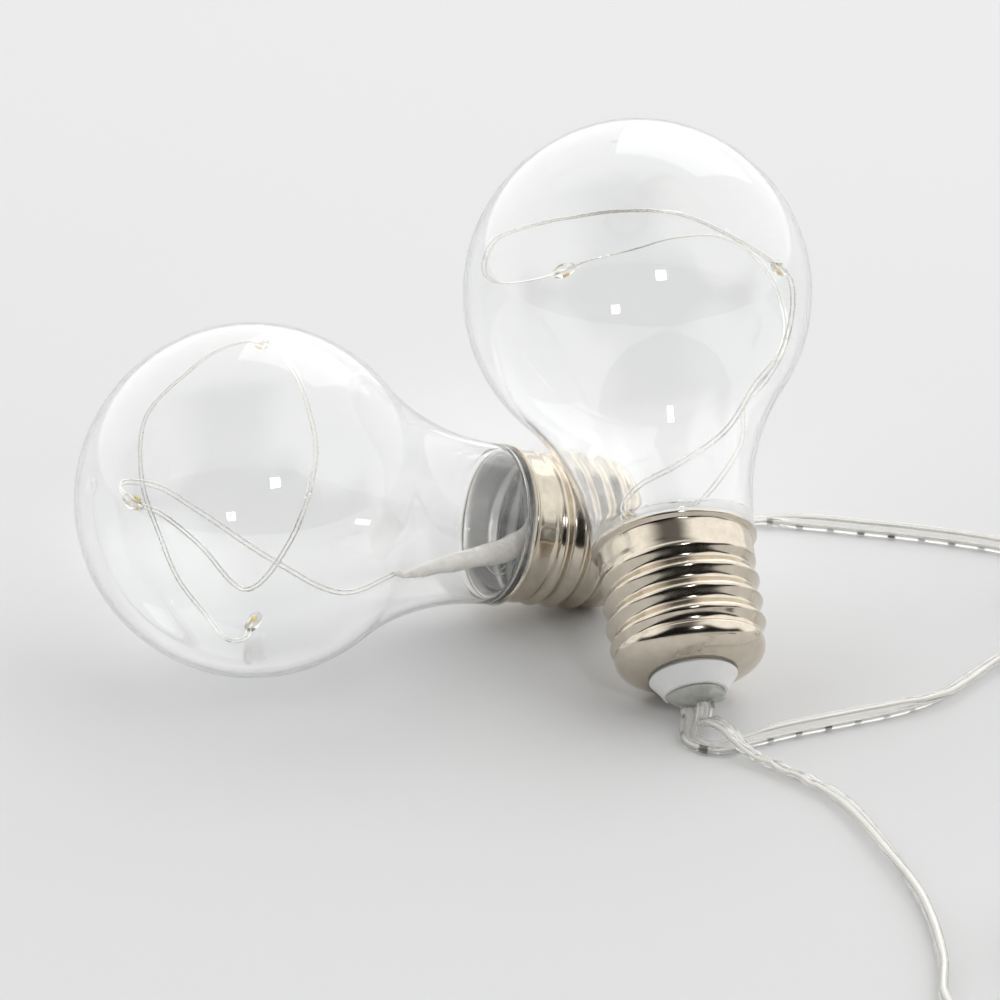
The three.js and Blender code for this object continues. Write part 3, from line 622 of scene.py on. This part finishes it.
def addLead(name, path, turns, replaced, marksBelow=False):
    frames = leadFrames(path, turns)
    outline = lobes(lead["width"], lead["thick"], lead["waist"])
    if marksBelow:
        outline = outline[len(outline) // 2 :] + outline[: len(outline) // 2]
    runs = distances(path)
    mesh = tubeMesh(name, sweep(path, frames, outline), runs)
    cover = newObject(name, mesh, "string", replaced, "markedLead")
    cores = []
    offset = lead["width"] / 2 - lead["thick"] / 2
    for number, side in ((1, -1), (2, 1)):
        strand = [(side * offset + x, y) for x, y in circle(8, lead["core"])]
        mesh = tubeMesh(f"{name}_core", sweep(path, frames, strand), runs)
        cores.append(newObject(f"{name}_core_{number}", mesh, "string", (), "strands"))
    return cover, cores


def alongLead(parts, spacing=1.0):
    whole = []
    for part in parts:
        whole += [p for p in part if not whole or (p - whole[-1]).length > 0.05]
    return evenly(whole, spacing)


def placesOf(route):
    return smoothPath([point[:3] for point in route], 1.0)


# a closed band: rings that close round themselves and on each other
def bandMesh(name, rings):
    sides, count = len(rings[0]), len(rings)
    faces = []
    for k in range(count):
        for i in range(sides):
            a, b = k * sides + i, k * sides + (i + 1) % sides
            c, d = (k + 1) % count * sides + (i + 1) % sides, (k + 1) % count * sides + i
            faces.append((a, b, c, d))
    mesh = meshFrom(name, [p for ring in rings for p in ring], faces)
    faceOutwards(mesh)
    return mesh


# points round a box with rounded corners, as (x, y, outward x, outward y)
def roundedBox(left, right, low, high, corner, perCorner=6, perSide=6):
    points = []
    for x, y, start in ((right, high, 0), (left, high, 90), (left, low, 180), (right, low, 270)):
        centre = (x + (-corner if x == right else corner), y + (-corner if y == high else corner))
        for k in range(perCorner + 1):
            a = math.radians(start + 90 * k / perCorner)
            outX, outY = math.cos(a), math.sin(a)
            points.append((centre[0] + corner * outX, centre[1] + corner * outY, outX, outY))
    filled = []
    for i, p in enumerate(points):
        filled.append(p)
        if i % (perCorner + 1) == perCorner:
            q = points[(i + 1) % len(points)]
            filled += [tuple(lerp(u, v, k / perSide) for u, v in zip(p, q)) for k in range(1, perSide)]
    return filled


tie = {"width": 2.6, "thick": 0.44, "clear": 0.04, "corner": 1.0, "edge": 0.16, "swell": 0.05}


# a wrap of tape round a coil's section
def addTie(name, angle):
    coil = {"link": linkCoil, "lead": leadCoil}[name]
    inner = coil["inner"] - lead["thick"] / 2 - lamp["gap"] - lead["tieThick"]
    outer = coil["inner"] + lead["turnPitch"] * coil["turns"] / 2 + lead["thick"] / 2 + lamp["gap"] + lead["tieThick"]
    top = 2 * lead["tieThick"] + 2 * lamp["gap"] + lead["width"] + lead["layerPitch"]
    loop = roundedBox(inner + tie["clear"], outer - tie["clear"], tie["clear"], top - tie["clear"], tie["corner"])
    turn = Matrix.Rotation(angle, 4, "Z")
    half = tie["width"] / 2
    rings = []
    for k, (x, z, outX, outZ) in enumerate(loop):
        thick = tie["thick"] * (1 + tie["swell"] * math.sin(2.1 * k))
        ring = []
        for depth, across, _, _ in roundedBox(-thick, 0, -half, half, tie["edge"], 3, 5):
            place = turn @ Vector((x + outX * depth, across, z + outZ * depth))
            ring.append(place + Vector((*coil["centre"], 0)))
        rings.append(ring)
    return newObject(f"{name}_tape", bandMesh(f"{name}_tape", rings), "string", (f"{name}_tie",), "tapeWhite")


connector = {"wide": 10.0, "high": 6.5, "length": 18.0, "corner": 1.6, "socket": 1.45, "spacing": 4.4,
             "start": -106.0, "middle": 3.25, "chamfer": 0.5, "grip": 0.22, "gripFrom": 3, "gripTo": 11,
             "gripStep": 1.6, "bootLength": 9.0, "bootBack": (2.4, 1.7), "bootFront": (4.4, 2.85), "ribs": 3,
             "ribDepth": 0.42, "bootInset": 0.1}


def boxRing(y, wide, high, corner, centre):
    points = roundedBox(-wide / 2, wide / 2, -high / 2, high / 2, corner, 5, 4)
    return [Vector((centre + x, y, connector["middle"] + z)) for x, z, _, _ in points][::-1]


# the connector's body with two sockets, and the ribbed boot behind it
def addConnector():
    centre = coilEnd(leadCoil, 1, 1).x
    back = connector["start"] + connector["bootLength"] + lamp["gap"]
    front = back + connector["length"]
    rings = []
    for k in range(73):
        y = lerp(back, front, k / 72)
        ends = min(1, min(y - back, front - y) / connector["chamfer"])
        inset = connector["chamfer"] * (1 - math.sqrt(max(0, 1 - (1 - ends) ** 2)))
        if connector["gripFrom"] < y - back < connector["gripTo"]:
            turn = 2 * math.pi * (y - back - connector["gripFrom"]) / connector["gripStep"]
            inset += connector["grip"] * (0.5 - 0.5 * math.cos(turn))
        wide, high = connector["wide"] - 2 * inset, connector["high"] - 2 * inset
        rings.append(boxRing(y, wide, high, connector["corner"], centre))
    mesh = tubeMesh("connector_shell", rings)
    body = newObject("connector_shell", mesh, "string", ("connector_body",), "mouldedBlack", False)
    cutters = []
    for side in (-0.5, 0.5):
        bpy.ops.mesh.primitive_cylinder_add(vertices=32, radius=connector["socket"] * mm, depth=1)
        cutter = bpy.context.object
        cutter.rotation_euler = (math.pi / 2, 0, 0)
        cutter.location = Vector((centre + side * connector["spacing"], 0, connector["middle"])) * mm
        cutters.append(cutter)
        bore = body.modifiers.new("socket", "BOOLEAN")
        bore.object, bore.operation, bore.solver = cutter, "DIFFERENCE", "EXACT"
    bpy.context.view_layer.update()
    solid = bpy.data.meshes.new_from_object(body.evaluated_get(bpy.context.evaluated_depsgraph_get()))
    body.modifiers.clear()
    body.data = solid
    solid.name = "connector_shell"
    for cutter in cutters:
        bpy.data.objects.remove(cutter)
    solid.materials.clear()
    solid.materials.append(materials["mouldedBlack"])
    rings = []
    for k in range(91):
        t = k / 90
        rib = 0.5 - 0.5 * math.cos(2 * math.pi * connector["ribs"] * t)
        groove = 1 - smoothstep(rib, 0.35, 0.65) if 0.03 < t < 0.97 else 0
        inset = connector["bootInset"] + connector["ribDepth"] * groove
        wide, high = [2 * (lerp(a, b, t) - inset) for a, b in zip(connector["bootBack"], connector["bootFront"])]
        y = connector["start"] + connector["bootLength"] * t
        rings.append(boxRing(y, wide, high, min(wide, high) * 0.48, centre))
    mesh = tubeMesh("connector_sleeve", rings)
    boot = newObject("connector_sleeve", mesh, "string", ("connector_boot",), "mouldedBlack")
    for number in (1, 2):
        contact = frame["nodes"][f"connector_contact_{number}"]
        contact.data.materials.clear()
        contact.data.materials.append(materials["tinned"])
    return [body, boot, "connector_contact_1", "connector_contact_2"]


# ripples in the lead from lamp B, in millimetres along it
kinks = {"from": 17, "to": 36, "length": 6.3, "reach": 0.22, "degrees": 9}


def addLeads():
    link = alongLead([placesOf(linkBackRoute), coilLine(linkCoil), placesOf(linkFrontRoute)[::-1]])
    turns = turnsAlong(link, linkBackRoute + [(*point[:3], 180 - point[3]) for point in linkFrontRoute[::-1]])
    linkCover, linkCores = addLead("link_lead", link, turns, ("link_back", "link_coil", "link_front"))
    addTie("link", 0)
    out = alongLead([placesOf(leadRoute), coilLine(leadCoil), placesOf(leadTailRoute)])
    turns = turnsAlong(out, leadRoute + leadTailRoute)
    for k, (point, along) in enumerate(zip(out, tangents(out))):
        share = smoothstep(k, kinks["from"], kinks["from"] + 4) * (1 - smoothstep(k, kinks["to"] - 4, kinks["to"]))
        angle = 2 * math.pi * k / kinks["length"]
        out[k] = point + along.cross(up) * kinks["reach"] * share * math.sin(angle) * (1 + 0.5 * math.sin(1.7 * k))
        turns[k] += kinks["degrees"] * share * math.cos(angle)
    outCover, outCores = addLead("panel_lead", out, turns, ("lead_front", "lead_coil", "lead_tail"), True)
    addTie("lead", math.pi)
    addConnector()
    print(f"leads made: link {distances(link)[-1]:.0f} mm, panel lead {distances(out)[-1]:.0f} mm")


addLeads()


# globe

# the neck's hollow flare meets the globe smoothly
flare = {}
flare["radius"] = (lamp["flareLength"] ** 2 + lamp["neck"] ** 2 - lamp["globeRadius"] ** 2) / (
    2 * (lamp["globeRadius"] - lamp["neck"])
)
flare["centre"] = (lamp["neck"] + flare["radius"], lamp["globeCentre"] - lamp["flareLength"])
flare["angle"] = math.atan2(flare["centre"][0], flare["centre"][1] - lamp["globeCentre"])
cap = {"crest": 13.4, "depth": 1.0, "pitch": 3.85, "phase": -0.4, "start": 0.9, "rise": 2.8, "fade": 2.4,
       "sheet": 0.28, "bowlRadius": 12.75, "bowlTop": 7.6, "bowlDepth": 4.1, "bowlFlat": 6.5, "hole": 7.2,
       "threadTop": 23.6, "band": 13.2, "flank": 0.92,
       "lip": [(13.32, 26.62), (13.6, 26.85), (13.9, 27.0), (14.05, 27.2), (14.05, 27.36), (14.0, 27.46)]}


# outside radius of the rolled thread, which rises from the bowl and runs out into the plain band
def threadRadius(height, angle):
    start = smoothstep(height, cap["bowlTop"], cap["bowlTop"] + cap["start"])
    runOut = smoothstep(height, cap["threadTop"] - cap["fade"], cap["threadTop"])
    rise = smoothstep(height, cap["bowlTop"], cap["bowlTop"] + cap["rise"])
    crest = lerp(lerp(cap["bowlRadius"], cap["crest"], rise), cap["band"], runOut)
    turn = 2 * math.pi * height / cap["pitch"] - angle - cap["phase"]
    wave = 0.5 - 0.5 * math.asin(cap["flank"] * math.cos(turn)) / math.asin(cap["flank"])
    return crest - (crest - cap["crest"] + cap["depth"]) * wave * start * (1 - runOut)


def rolled(least):
    def radiusAt(i, r, z, angle):
        if r > least and cap["bowlTop"] < z < cap["threadTop"]:
            return threadRadius(z, angle) - (cap["band"] - r)
        return r

    return radiusAt


def addGlobe(letter):
    shoulder = lamp["capRim"] + lamp["gap"]
    plugEnd = lamp["capRim"] - lamp["plugLength"]
    plug = cap["band"] - cap["sheet"] - lamp["gap"]
    centre, radius, wall = (0, lamp["globeCentre"]), lamp["globeRadius"], lamp["wall"]
    pip = math.asin(lamp["pipRadius"] / radius)
    bore = plug - lamp["plugWall"]
    edge, step = lamp["plugEdge"], lamp["rowStep"]
    rows = [(bore + edge, plugEnd), (plug - edge, plugEnd)]
    rows += [(plug, z) for z in evenRows(plugEnd + 2 * edge, cap["threadTop"], step)]
    rows += [(plug, 26.0), (plug, shoulder), (lamp["neck"] - 2 * edge, shoulder), (lamp["neck"], shoulder + 2 * edge)]
    rows += arcRows(flare["centre"], flare["radius"], -math.pi / 2, flare["angle"] - math.pi, 26)
    rows += arcRows(centre, radius, flare["angle"], pip, 54)[1:]
    for r in (1.7, 1.45, 1.2, 0.95, 0.7, 0.45, 0.2, 0):
        swell = lamp["pipHeight"] * (0.5 + 0.5 * math.cos(math.pi * r / lamp["pipRadius"]))
        rows.append((r, centre[1] + math.sqrt(radius**2 - r**2) + swell))
    lining = arcRows(centre, radius - wall, 0, flare["angle"], 50)
    flareInside = arcRows(flare["centre"], flare["radius"] + wall, flare["angle"] - math.pi, -math.pi / 2, 22)[1:]
    lining += [row for row in flareInside if row[1] > shoulder + 1.2]
    lining[0] = (0, lining[0][1])
    lining += [(13.1, shoulder + 0.95), (12.85, shoulder + 0.7), (12.2, shoulder + 0.45), (bore, shoulder)]
    lining += [(bore, z) for z in evenRows(cap["threadTop"], plugEnd + 2 * edge, step)]
    mesh = turnedMesh(f"globe_{letter}", rows + lining, 96, places[letter], rolled(bore - 0.5))
    body = f"lamp_{letter}_globe"
    newObject(f"globe_{letter}", mesh, body, (body,), "clearPlastic")


# screw cap, insulator and sealant


def bowlRows(inset, count):
    wide = cap["bowlRadius"] - cap["bowlFlat"] - inset
    deep = cap["bowlDepth"] - inset
    start = math.asin((cap["hole"] - cap["bowlFlat"]) / wide)
    rows = []
    for i in range(count + 1):
        a = lerp(start, math.pi / 2, i / count)
        rows.append((cap["bowlFlat"] + wide * math.sin(a), cap["bowlTop"] - deep * math.cos(a)))
    return rows


# (radius, height) from the cone's foot, over the shoulder and the collar inside the bowl, and down the bore
insulator = {"rows": [
    (4.2, 0.12), (4.35, 0), (5.2, 0), (5.45, 0.08), (5.62, 0.3), (6.4, 1.6), (7.35, 2.75), (7.5, 2.95), (7.48, 3.06),
    (7.35, 3.1), (6.9, 3.1), (6.9, 4.48), (8.15, 4.5), (8.3, 4.62), (8.3, 5.6), (8.2, 5.68), (4.3, 5.68), (4.2, 5.6),
]}


def addCap(letter):
    rim, band, sheet = lamp["capRim"], cap["band"], cap["sheet"]
    thread = evenRows(cap["bowlTop"], cap["threadTop"], 0.22)[1:]
    outside = bowlRows(0, 18) + [(band, z) for z in [*thread, 25.4, 26.3]] + cap["lip"] + [(13.9, rim)]
    lining = [(13.05, rim), (12.96, 27.42)] + [(band - sheet, z) for z in [27.2, 26.3, 25.4, *thread[::-1]]]
    lining += bowlRows(sheet, 14)[::-1]
    steps = 128
    mesh = turnedMesh(f"screw_cap_{letter}", outside + lining, steps, places[letter], rolled(cap["hole"]))
    newObject(f"screw_cap_{letter}", mesh, "string", (f"lamp_{letter}_screw_cap",), "nickel")
    # the inside of the cap takes the paler nickel: painted brightness in place of reflected light
    mesh.materials.append(materials["paleNickel"])
    for poly in mesh.polygons:
        poly.material_index = int(poly.index // steps >= len(outside))
    mesh = turnedMesh(f"insulator_{letter}", insulator["rows"], 72, places[letter])
    newObject(f"insulator_{letter}", mesh, "string", (f"lamp_{letter}_insulator",), "insulatorWhite")
    addSealant(letter)


# the first rows are the lumpy dome outside, and the rest the plug of it inside the insulator
sealant = {
    "rows": [(0, -1.75), (0.9, -1.74), (2.1, -1.66), (3.3, -1.45), (4.2, -1.12), (4.8, -0.78), (5.1, -0.5),
             (5.18, -0.36), (5.0, -0.3), (3.9, -0.3), (3.9, 6.0), (3.7, 6.3), (0, 6.4)],
    "domeRows": 7, "swell": 0.22, "sag": 0.28, "edge": (4.3, 5.15),
    "seeds": {"a": (3.7, 1.1, 9.2), "b": (0.4, 6.2, 2.9)},
}


def addSealant(letter):
    seed = Vector(sealant["seeds"][letter])

    def lumpy(i, r, z, angle):
        if i > sealant["domeRows"]:
            return r
        swell = noise.noise(seed + Vector((math.cos(angle), math.sin(angle), z * 0.4)) * 2.1)
        wide = r * (0.92 + sealant["swell"] * swell * smoothstep(r, 0.5, 3.0))
        return min(sealant["edge"][1], max(sealant["edge"][0], wide)) if r > 4.5 else wide

    def lumpyHeight(i, r, z, angle):
        if i >= sealant["domeRows"]:
            return z
        spot = seed * 2 + Vector((r * math.cos(angle), r * math.sin(angle), 0)) * 0.7
        return z + sealant["sag"] * abs(noise.noise(spot))

    mesh = turnedMesh(f"sealant_{letter}", sealant["rows"], 64, places[letter], lumpy, lumpyHeight)
    newObject(f"sealant_{letter}", mesh, "string", (f"lamp_{letter}_tip_sealant",), "siliconeGrey")


# inside a lamp: the leads' ends, the glue tail, and the light wires

inside = {
    "a": {
        "tail": [(0, 1, 17.6), (-0.8, 3.2, 23), (-1.8, 6.2, 33), (-3.2, 9.9, 46.2)],
        "tailSizes": [3.3, 2.3, 2.0, 1.7, 1.3, 0.5],
        "strands": [[(0, 3.4, 21), (-3, 6.2, 24), (-6, 7, 29), (-7.5, 4.6, 33), (-7, 1.5, 37)],
                    [(0.5, 3, 20.5), (1.5, 6.5, 22), (0.8, 9.3, 25.5)], [(2, -1, 18.5), (4.5, -4, 20), (6, -7, 23)]],
        "route": [
            (-3.2, 9.9, 46.5), (-4.6, 13.4, 56.4), (-2.9, 9.2, 70.2), (-0.9, 2.8, 84.2), (0, -0.8, 93),
            (-1.2, -1.3, 99.6), (-4.2, -1, 101.4), (-8.3, -0.2, 100.7), (-13.8, -0.5, 98.4), (-20, 2.1, 93.4),
            (-24.2, 8.1, 84.8), (-26.9, -1.8, 80.3), (-22.4, -15.8, 77), (-16.1, -22.2, 77.2), (-7.3, -26.4, 77.5),
            (8.2, -26.1, 77.4), (16.5, -21.3, 80.4), (20.8, -16.4, 82), (24, -6.1, 87), (25, 6.5, 84.2),
            (22, 15, 79.6), (17.4, 21.2, 76.8), (10.8, 25.2, 73.2), (3, 27, 71.4), (3.2, 26.9, 68.2),
            (6.3, 26, 66.2), (9, 24, 63.2),
        ],
        "leads": [0.0],
        "paidOut": (46.5, 66.0),
    },
    "b": {
        "tail": [(0, 0, 17.6), (0.6, -0.2, 21), (1.6, -0.3, 24.5), (2.6, -0.5, 28)],
        "tailSizes": [3.5, 2.5, 1.6, 0.8],
        "strands": [[(1.5, 1.5, 20), (4, 3.5, 23), (6.5, 3, 27)]],
        "route": [
            (2.6, -0.5, 28.3), (6, -1.3, 34.6), (10.2, -1.6, 39.5), (14.1, -0.8, 45.4), (17.7, 1.4, 51.4),
            (20.7, 2.6, 56.4), (23.7, 1.3, 60.8), (26, -2, 66.6), (25.3, -9.6, 70.4), (21.2, -17, 70.6),
            (13.6, -23.8, 72.4), (3.4, -27.3, 76.1), (-6.3, -26.6, 77.5), (-13.4, -23.8, 78.4), (-20, -18.2, 80.1),
            (-25, -8, 82.8), (-26.4, -0.5, 82.8), (-25, 7, 83.4), (-20.2, 14.6, 85.6), (-10.5, 20.4, 89.8),
            (-4.2, 20.7, 92.3), (4.2, 19.6, 93.5), (11.3, 16.4, 93.8), (19.2, 11.1, 90.7), (24.8, 7.9, 83.5),
            (26.3, 4.6, 72), (22.6, -3.2, 60.3), (18.9, -3.6, 53), (11, -2.4, 46.7), (2.3, -0.5, 41.8),
            (-4.6, 0.9, 38.8), (-7.4, 1.3, 35.4), (-6.6, 1.2, 31.6), (-4.4, 1, 28.6),
        ],
        "leads": [-1.8, 1.8],
        "paidOut": (28.0, 31.0),
    },
}
innerLead = {"end": 16.4, "step": 0.8}
wire = {"radius": 0.16, "spacing": 0.7, "reach": 26.8, "step": 0.7}
led = {"dropLength": 4.4, "dropRadius": 1.3, "dropEnd": 0.42, "dropSwell": 0.1, "chipHalf": (0.6, 0.15, 0.3),
       "chipLift": 0.57, "chipEdge": 0.06}


def withinReach(point):
    p = Vector(point)
    fromCentre = p - Vector((0, 0, lamp["globeCentre"]))
    if p.z < lamp["globeCentre"] - wire["reach"]:
        return p
    return Vector((0, 0, lamp["globeCentre"])) + fromCentre * min(1, wire["reach"] / fromCentre.length)


def firstNormal(tangent):
    least = min(range(3), key=lambda i: (abs(tangent[i]), -i))
    direction = Vector([1.0 if i == least else 0.0 for i in range(3)])
    return tangent.cross(tangent.cross(direction).normalized())


def addWires(letter):
    place = places[letter]
    path = [place @ p for p in smoothPath([withinReach(p) for p in inside[letter]["route"]], wire["step"])]
    turn = place.to_3x3()
    local = turn.inverted() @ tangents(path)[0]
    frames = steadyFrames(path, turn @ firstNormal(local))
    for number, side in ((1, -0.5), (2, 0.5)):
        beside = [p + b * (side * wire["spacing"]) for p, (a, b) in zip(path, frames)]
        name = f"light_wire_{letter}_{number}"
        mesh = roundTube(name, beside, lambda t: wire["radius"])
        piece = newObject(name, mesh, None, (f"lamp_{letter}_wire_{number}",), "silverWire")
        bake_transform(piece)
    for number in (1, 2, 3):
        low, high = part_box(f"lamp_{letter}_led_drop_{number}")
        centre = (low + high) / 2 / mm
        k = min(range(len(path)), key=lambda i: (path[i] - centre).length)
        addLed(letter, number, path[k], tangents(path)[k], frames[k])


# a chip across the pair of wires, and the clear drop over it
def addLed(letter, number, point, along, frame):
    body = f"lamp_{letter}_wires"
    lift, across = frame
    place = Matrix.Translation(point) @ Matrix((along, lift, across)).transposed().to_4x4()
    long, thick, wide = led["chipHalf"]
    corners = [(x, y, z) for x in (-1, 1) for y in (-1, 1) for z in (-1, 1)]
    points = [place @ Vector((x * long, led["chipLift"] + y * thick, z * wide)) for x, y, z in corners]
    faces = [(0, 1, 3, 2), (4, 6, 7, 5), (0, 4, 5, 1), (2, 3, 7, 6), (0, 2, 6, 4), (1, 5, 7, 3)]
    mesh, replaced = meshFrom("chip", points, faces), (f"lamp_{letter}_led_chip_{number}",)
    chip = newObject(f"led_chip_{letter}_{number}", mesh, body, replaced, "phosphor", False)
    bevel = chip.modifiers.new("edges", "BEVEL")
    bevel.width = led["chipEdge"] * mm
    bevel.segments = 2
    seed = Vector((number * 5.1, ord(letter), 0.3))
    rows, last = [], 24
    for i in range(last + 1):
        bulge = math.sqrt(max(0, 1 - (2 * i / last - 1) ** 2)) ** 1.3
        radius = 0 if i in (0, last) else lerp(led["dropEnd"], led["dropRadius"], bulge)
        rows.append((radius, (i / last - 0.5) * led["dropLength"]))

    def lumpy(i, r, z, angle):
        swell = noise.noise(seed + Vector((math.cos(angle), math.sin(angle), z * 0.6)) * 1.2)
        return r * (0.94 + led["dropSwell"] * swell)

    lengthwise = place @ Matrix.Rotation(math.radians(90), 4, "Y")
    mesh, replaced = turnedMesh("drop", rows, 28, lengthwise, lumpy), (f"lamp_{letter}_led_drop_{number}",)
    newObject(f"led_drop_{letter}_{number}", mesh, body, replaced, "resin")


# the glue that was drawn out over the wires: a thick irregular tail, with a few stray strands
def addTail(letter, place, parts):
    path = [place @ p for p in smoothPath(parts["tail"], 0.4)]
    sizes, seed = parts["tailSizes"], Vector((ord(letter), 2.7, 5.1))
    frames = steadyFrames(path)
    rings = []
    for k, (p, (a, b)) in enumerate(zip(path, frames)):
        t = k / (len(path) - 1)
        step = t * (len(sizes) - 1)
        i = min(len(sizes) - 2, int(step))
        size = lerp(sizes[i], sizes[i + 1], smoothstep(step - i, 0, 1)) * (1 - 0.3 * smoothstep(t, 0.97, 1))
        ring = []
        for x, y in circle(32):
            swell = noise.noise(seed + Vector((x, y, 8 * t)) * 0.9)
            ring.append(p + (a * x + b * y) * size * (1 + 0.22 * swell))
        rings.append(ring)
    name = f"glue_tail_{letter}"
    newObject(name, tubeMesh(name, rings), "string", (f"lamp_{letter}_glue_tail",), "hotGlue")
    for number, strand in enumerate(parts["strands"], 1):
        line = [place @ p for p in smoothPath(strand, 0.3)]
        name = f"glue_strand_{letter}_{number}"
        newObject(name, roundTube(name, line, lambda t: 0.13 - 0.08 * t, 6), "string", (), "hotGlue")


def addInside(letter):
    place, parts = places[letter], inside[letter]
    for number, x in enumerate(parts["leads"], 1):
        heights = evenRows(sealant["rows"][-1][1] + lamp["gap"], innerLead["end"], innerLead["step"])
        path = [place @ Vector((x, 0, z)) for z in heights]
        along, across = towards(letter, (0, 0, 1)), towards(letter, (1, 0, 0))
        frames = [(across, along.cross(across))] * len(path)
        rings = sweep(path, frames, lobes(lead["width"], lead["thick"], lead["waist"]))
        name = f"inner_lead_{letter}_{number}"
        mesh = tubeMesh(name, rings, [i * innerLead["step"] for i in range(len(path))])
        newObject(name, mesh, "string", (f"lamp_{letter}_inner_lead_{number}",), "markedLead")
    addTail(letter, place, parts)
    addWires(letter)


for letter in ("a", "b"):
    addGlobe(letter)
    addCap(letter)
    addInside(letter)
    print(f"lamp {letter} made")


# floor, lights and surroundings

# directions run from -1 to 1; each pair says where an area of the surroundings fades in
studio = {
    # nearFloor and farFloor: the floor is painted darker towards the front, as painted shade where the lamps' light
    # falls off
    "nearFloor": (0.736, 0.739, 0.745), "farFloor": (0.812, 0.817, 0.826), "fade": (-0.25, 0.35), "strength": 1.3,
    "softbox": (1.0, 0.997, 0.985), "strip": (0.12, 0.117, 0.114), "dark": (0.006, 0.006, 0.005),
    "right": (0.0, 0.4), "left": (-0.8, -0.3), "behind": (0.05, 0.4), "low": (0.62, 0.86), "lowBehind": (-0.25, 0.1),
    "sides": (0.35, 0.9), "lift": 0.5,
    "lamps": {
        "front": {"place": (0.31, -0.96, 0.65), "target": (0, 0, 0.04), "size": 0.13, "power": 1.6},
        "key": {"place": (0.45, 1.25, 1.1), "target": (0.05, 0.05, 0), "size": 1.2, "power": 4},
    },
}


def addFloor():
    mesh = meshFrom("floor", [(-3000, -3000, 0), (3000, -3000, 0), (3000, 5000, 0), (-3000, 5000, 0)], [(0, 1, 2, 3)])
    floor = bpy.data.objects.new("floor", mesh)
    bpy.context.scene.collection.objects.link(floor)
    finish = Shader("floorPaper")
    where = finish.node("ShaderNodeTexCoord")
    parts = finish.node("ShaderNodeSeparateXYZ")
    finish.link(where.outputs["Object"], parts.inputs[0])
    # painted shade: the paper is darker near the camera and paler further back
    share = ranged(finish.tree, parts.outputs["Y"], *studio["fade"], "SMOOTHSTEP")
    paper = mixed(finish.tree, share, (*studio["nearFloor"], 1), (*studio["farFloor"], 1))
    finish.link(paper, finish.surface.inputs["Base Color"])
    finish.set(rough=0.8)
    mesh.materials.append(finish.material)


def addLamp(name, place, target, size, power):
    data = bpy.data.lights.new(name, "AREA")
    data.size, data.energy = size, power
    light = bpy.data.objects.new(name, data)
    bpy.context.scene.collection.objects.link(light)
    light.location = place
    light.rotation_euler = (Vector(target) - Vector(place)).to_track_quat("-Z", "Y").to_euler()


# soft boxes at both sides and a pale room behind, with a grey strip overhead and a dark room low in front
def addWorld():
    world = bpy.data.worlds.new("surroundings")
    world.use_nodes = True
    tree = world.node_tree
    where = addNode(tree, "ShaderNodeTexCoord")
    parts = addNode(tree, "ShaderNodeSeparateXYZ")
    tree.links.new(where.outputs["Generated"], parts.inputs[0])

    def fade(value, name, ends=(0.0, 1.0)):
        return ranged(tree, value, *studio[name], "SMOOTHSTEP", ends)

    x, y, z = parts.outputs
    boxes = reckon(tree, "MAXIMUM", fade(x, "right"), fade(x, "left", (1.0, 0.0)))
    boxes = reckon(tree, "MAXIMUM", boxes, fade(y, "behind"))
    high = mixed(tree, boxes, (*studio["strip"], 1), (*studio["softbox"], 1))
    raised = reckon(tree, "MULTIPLY_ADD", fade(reckon(tree, "ABSOLUTE", x), "sides"), studio["lift"], z)
    lit = reckon(tree, "MAXIMUM", fade(raised, "low"), fade(y, "lowBehind"))
    tree.links.new(mixed(tree, lit, (*studio["dark"], 1), high), tree.nodes["Background"].inputs["Color"])
    tree.nodes["Background"].inputs["Strength"].default_value = studio["strength"]
    bpy.context.scene.world = world


addFloor()
for name, values in studio["lamps"].items():
    addLamp(name, **values)
addWorld()
bpy.context.scene.view_settings.view_transform = "Standard"
print("stage set")
